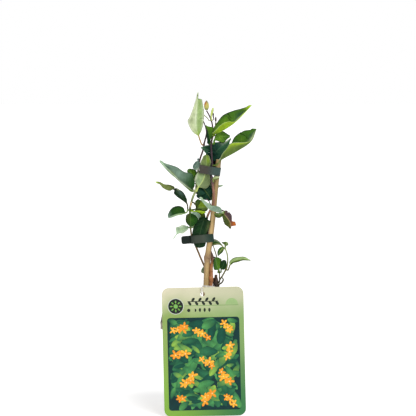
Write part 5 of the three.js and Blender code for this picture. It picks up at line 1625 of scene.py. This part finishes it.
def print_header():
    """A round badge with a sun, a twig, a rule and three care signs, with no lettering."""
    ink = Ink()
    badge = Vector((-31.6, 53.4))
    ink.disc(badge, 9.4, SWATCHES["print_ring"], 1)
    ink.disc(badge, 8.7, SWATCHES["print_line"], 2)
    ink.disc(badge, 2.5, SWATCHES["print_leaf_light"], 3, count=24)
    for turn in turns(8):
        start = badge + unit(turn) * 3.5
        ink.blade(start, turn, 3.4, 0.85, ["print_lime", "print_green"], 4)
    twig_low, twig_high, twig_level = -18.0, 18.0, 58.6
    ink.flat_shape(rounded_rectangle((twig_low, twig_level - 0.45), (twig_high, twig_level + 0.45), 0.4, 3),
                   SWATCHES["print_line"], 1)
    for leaf in range(9):
        x = lerp(twig_low + 1, twig_high - 3, leaf / 8)
        turn = math.radians(52 if leaf % 2 else -52)
        ink.blade((x, twig_level), turn, 5.4, 1.5, ["print_ink", "print_ink"], 2)
    ink.flat_shape(rounded_rectangle((-20.4, 53.5), (41.4, 54.1), 0.25, 3), SWATCHES["print_rule"], 1)
    ink.disc((-16.5, 48.4), 1.9, SWATCHES["print_line"], 1, count=20)
    ink.disc((-9.5, 48.4), 1.9, SWATCHES["print_line"], 1, start=-math.pi / 2, sweep=math.pi, count=12)
    for sign in range(3):
        ink.blade((-3.5 + 5.5 * sign, 46.2), math.pi / 2, 4.6, 1.3, ["print_ink", "print_ink"], 1)
    ink.disc((33.6, 54.6), 7.2, SWATCHES["print_faint"], 1, start=0.0, sweep=math.pi, count=24)
    return ink.form


def strap_form():
    form = Form()
    points = [Vector(p) for p in STRAP_ROUTE]
    count = len(points) * 8
    centres = []
    for i in range(count):
        place = i / 8
        index = int(place)
        # The middle one of three spans, so that the loop has no ends.
        four = [points[(index + k) % len(points)] for k in (-1, 0, 1, 2)]
        centres.append(curve_point(four, (1 + place - index) / 3))
    level = Vector((0, 0, 1))
    rings = []
    for centre, (tangent, side, _) in zip(centres, frames_along(centres, loop=True)):
        flat = (level - tangent * level.dot(tangent)).normalized() if abs(tangent.z) < 0.9 else side
        thick = tangent.cross(flat)
        ring = []
        for turn in turns(12):
            right, up = flat * STRAP_HALF[0] * math.cos(turn), thick * STRAP_HALF[1] * math.sin(turn)
            ring.append(form.add(centre + right + up))
        rings.append(ring)
    form.loft(rings, loop=True)
    return form


# ---- settings ----
def colour_setting(name, description, default):
    return FloatVectorProperty(
        name=name, description=description, default=default, subtype="COLOR", size=3, min=0.0, max=1.0
    )


class VinePotSettings(bpy.types.PropertyGroup):
    plastic: colour_setting("Plastic", "Colour of the pot", linear(150, 140, 125))
    chunks: IntProperty(
        name="Chunks", description="Bits of bark, peat and perlite on the soil", default=420, min=0
    )
    soil_seed: IntProperty(name="Soil seed", description="Picks where the chunks lie", default=7)


class VinePlantSettings(bpy.types.PropertyGroup):
    leaf_thickness: FloatProperty(
        name="Leaf thickness", description="Thickness of a leaf's blade in millimetres", default=0.42, min=0.1
    )
    along: IntProperty(name="Steps along", description="Sections along each leaf", default=40, min=8)
    across: IntProperty(name="Steps across", description="Faces across each leaf", default=20, min=6)
    stem_steps: IntProperty(name="Stem steps", description="Rings in each span of a stem", default=8, min=2)


class VineLabelSettings(bpy.types.PropertyGroup):
    top_left: colour_setting("Top left", "The card's colour in this corner", linear(214, 208, 180))
    top_right: colour_setting("Top right", "The card's colour in this corner", linear(190, 190, 158))
    middle_left: colour_setting("Middle left", "Colour by the picture's top left", linear(135, 162, 84))
    middle_right: colour_setting("Middle right", "Colour by the picture's top right", linear(128, 160, 92))
    bottom_left: colour_setting("Bottom left", "The card's colour in this corner", linear(120, 165, 50))
    bottom_right: colour_setting("Bottom right", "The card's colour in this corner", linear(36, 110, 56))
    back: colour_setting("Back", "Colour of the card's back", linear(226, 226, 216))
    strap: colour_setting("Strap", "Colour of the clear strap", linear(236, 232, 222))
    seed: IntProperty(name="Picture seed", description="Picks the printed picture's leaves", default=21)


class VineStageSettings(bpy.types.PropertyGroup):
    floor: colour_setting("Floor", "Colour of the studio floor", (0.9, 0.9, 0.9))
    sky: FloatProperty(name="Sky", description="Strength of the light from all round", default=0.34, min=0.0)
    key: FloatProperty(name="Key", description="Strength of the main soft light", default=1.9, min=0.0)
    fill: FloatProperty(name="Fill", description="Strength of the weak soft light", default=0.5, min=0.0)
    distance: FloatProperty(
        name="Distance", description="Camera's distance", default=2.0, min=0.5, unit="LENGTH",
        subtype="DISTANCE",
    )


# ---- operators ----
class VINE_OT_pot(bpy.types.Operator):
    """Make the square nursery pot and its soil"""

    bl_idname = "vine.pot"
    bl_label = "Pot and Soil"

    def execute(self, context):
        settings = context.scene.vine_pot
        plastic = pot_paint(tuple(settings.plastic))
        pot = pot_form().build("square_pot", [plastic], "pot_plastic", "nursery_pot")
        cut_drains(pot)
        soil = soil_form(settings.chunks, settings.soil_seed)
        soil.build("soil_surface", [soil_paint()], "soil", "potting_soil")
        return {"FINISHED"}


class VINE_OT_cane(bpy.types.Operator):
    """Make the bamboo cane"""

    bl_idname = "vine.cane"
    bl_label = "Bamboo Cane"

    def execute(self, context):
        cane_form().build("knotted_cane", [bamboo_paint()], "bamboo", "bamboo_cane")
        return {"FINISHED"}


class VINE_OT_stems(bpy.types.Operator):
    """Make the stems, shoots and twigs"""

    bl_idname = "vine.stems"
    bl_label = "Stems"

    def execute(self, context):
        settings = context.scene.vine_plant
        bark, skin = stem_paint("peeling_bark", 0.75, 0.7), stem_paint("green_stem_skin", 0.5, 0.3)
        for name in STEMS:
            form = stem_form(name, settings.stem_steps)
            if name == "main_stem":
                add_peels(form, MAIN_STEM, [0.02 + 0.016 * i for i in range(15)], 5)
            if name == "old_stump":
                add_peels(form, OLD_STUMP, [0.3 + 0.06 * i for i in range(9)], 9)
            woody = name in WOODY
            form.build(f"{name}_grown", [bark if woody else skin], "bark" if woody else "green_stem", name)
        return {"FINISHED"}


class VINE_OT_leaves(bpy.types.Operator):
    """Make every leaf with its stalk"""

    bl_idname = "vine.leaves"
    bl_label = "Leaves"

    def execute(self, context):
        settings = context.scene.vine_plant
        paints = {kind: [leaf_paint(kind, True), leaf_paint(kind, False)] for kind in LEAF_KINDS}
        for number, leaf in enumerate(LEAVES):
            form = leaf_form(leaf, settings.leaf_thickness, settings.along, settings.across, number)
            node, slot = f"leaf_{leaf.name}", f"leaf_{leaf.kind}"
            form.build(f"{node}_blade", paints[leaf.kind], slot, node)
        return {"FINISHED"}


class VINE_OT_buds(bpy.types.Operator):
    """Make the buds"""

    bl_idname = "vine.buds"
    bl_label = "Buds"

    def execute(self, context):
        scales = stem_paint("bud_scales", 0.5, 0.25)
        for bud in BUDS:
            bud_form(bud).build(f"{bud[0]}_scales", [scales], "bud", bud[0])
        return {"FINISHED"}


class VINE_OT_ties(bpy.types.Operator):
    """Make the two bands of tie tape"""

    bl_idname = "vine.ties"
    bl_label = "Ties"

    def execute(self, context):
        tape = tape_paint()
        for tie in TIES:
            tie_form(tie).build(f"{tie['name']}_tape", [tape], "tie_tape", tie["name"])
        return {"FINISHED"}


class VINE_OT_label(bpy.types.Operator):
    """Make the picture label, its print and its strap"""

    bl_idname = "vine.label"
    bl_label = "Label and Strap"

    def execute(self, context):
        settings = context.scene.vine_label
        rows = ("top", "middle", "bottom")
        names = [f"{row}_{side}" for row in rows for side in ("left", "right")] + ["back"]
        corners = {name: tuple(getattr(settings, name)) for name in names}
        label_form().build("label_card", [card_paint(corners)], "label_card", "plant_label")
        picture = print_picture(settings.seed)
        picture.build("label_picture", [ink_paint("picture_ink", 0.5)], "label_card", "plant_label")
        print_header().build("label_signs", [ink_paint("sign_ink", 0.15)], "label_card", "plant_label")
        strap_form().build("strap_loop", [strap_paint(tuple(settings.strap))], "clear_strap", "label_strap")
        return {"FINISHED"}


class VINE_OT_stage(bpy.types.Operator):
    """Make the floor, the lights and the camera"""

    bl_idname = "vine.stage"
    bl_label = "Stage"

    def execute(self, context):
        settings = context.scene.vine_stage
        self.make_floor(tuple(settings.floor))
        self.make_sky(context.scene, settings.sky)
        self.make_light("key_light", (1.0, -1.4, 1.9), settings.key, 34)
        self.make_light("fill_light", (-1.6, -1.0, 1.3), settings.fill, 60)
        self.make_camera(context.scene, settings.distance)
        context.scene.view_settings.view_transform = "Standard"
        return {"FINISHED"}

    @staticmethod
    def make_floor(colour):
        mesh = bpy.data.meshes.new("studio_floor")
        corners = [(-40, -40, 0), (40, -40, 0), (40, 40, 0), (-40, 40, 0)]
        mesh.from_pydata(corners, [], [(0, 1, 2, 3)])
        mesh.materials.append(studio_paint(colour))
        add_object("studio_floor", mesh)

    @staticmethod
    def make_sky(scene, strength):
        world = bpy.data.worlds.new("studio_sky")
        world.use_nodes = True
        tree = world.node_tree
        background = tree.nodes["Background"]
        background.inputs["Color"].default_value = (1.0, 1.0, 1.0, 1.0)
        seen = tree.nodes.new("ShaderNodeLightPath")
        level = tree.nodes.new("ShaderNodeMapRange")
        level.inputs["To Min"].default_value = strength
        level.inputs["To Max"].default_value = 1.0
        tree.links.new(seen.outputs["Is Camera Ray"], level.inputs["Value"])
        tree.links.new(level.outputs["Result"], background.inputs["Strength"])
        scene.world = world

    @staticmethod
    def make_light(name, place, strength, spread):
        """A broad far light. Its spread in degrees softens its shadows."""
        data = bpy.data.lights.new(name, "SUN")
        data.energy, data.angle = strength, math.radians(spread)
        light = add_object(name, data)
        light.location = place
        light.rotation_euler = (-Vector(place)).to_track_quat("-Z", "Y").to_euler()

    @staticmethod
    def make_camera(scene, distance):
        """The camera looks a little down on the plant. The picture is 491 mm wide at the plant."""
        target = Vector((7.08, -12, 241)) * MM
        elevation = math.radians(4)
        picture_width = 490.9 * MM
        data = bpy.data.cameras.new("camera")
        data.sensor_width = 36.0
        data.lens = data.sensor_width * distance / picture_width
        camera = add_object("camera", data)
        back = Vector((0, -math.cos(elevation), math.sin(elevation)))
        camera.location = target + back * distance
        camera.rotation_euler = (math.pi / 2 - elevation, 0, 0)
        scene.camera = camera


STEPS = (
    VINE_OT_stage, VINE_OT_pot, VINE_OT_cane, VINE_OT_stems, VINE_OT_leaves, VINE_OT_buds, VINE_OT_ties,
    VINE_OT_label,
)


class VINE_PT_panel(bpy.types.Panel):
    """Lists the steps that build the vine, with their settings"""

    bl_idname = "VINE_PT_panel"
    bl_label = "Vine"
    bl_space_type = "VIEW_3D"
    bl_region_type = "UI"
    bl_category = "Vine"

    def draw(self, context):
        for step in STEPS:
            self.layout.operator(step.bl_idname)
        for group in SETTINGS:
            settings = getattr(context.scene, group)
            for name in settings.__annotations__:
                self.layout.prop(settings, name)


SETTINGS = {
    "vine_pot": VinePotSettings,
    "vine_plant": VinePlantSettings,
    "vine_label": VineLabelSettings,
    "vine_stage": VineStageSettings,
}


def register():
    for group, kind in SETTINGS.items():
        bpy.utils.register_class(kind)
        setattr(bpy.types.Scene, group, PointerProperty(type=kind))
    for kind in (*STEPS, VINE_PT_panel):
        bpy.utils.register_class(kind)


def unregister():
    for kind in reversed((*STEPS, VINE_PT_panel)):
        bpy.utils.unregister_class(kind)
    for group, kind in SETTINGS.items():
        delattr(bpy.types.Scene, group)
        bpy.utils.unregister_class(kind)


def main():
    register()
    for step in STEPS:
        category, name = step.bl_idname.split(".")
        getattr(getattr(bpy.ops, category), name)()


if __name__ == "__main__":
    main()
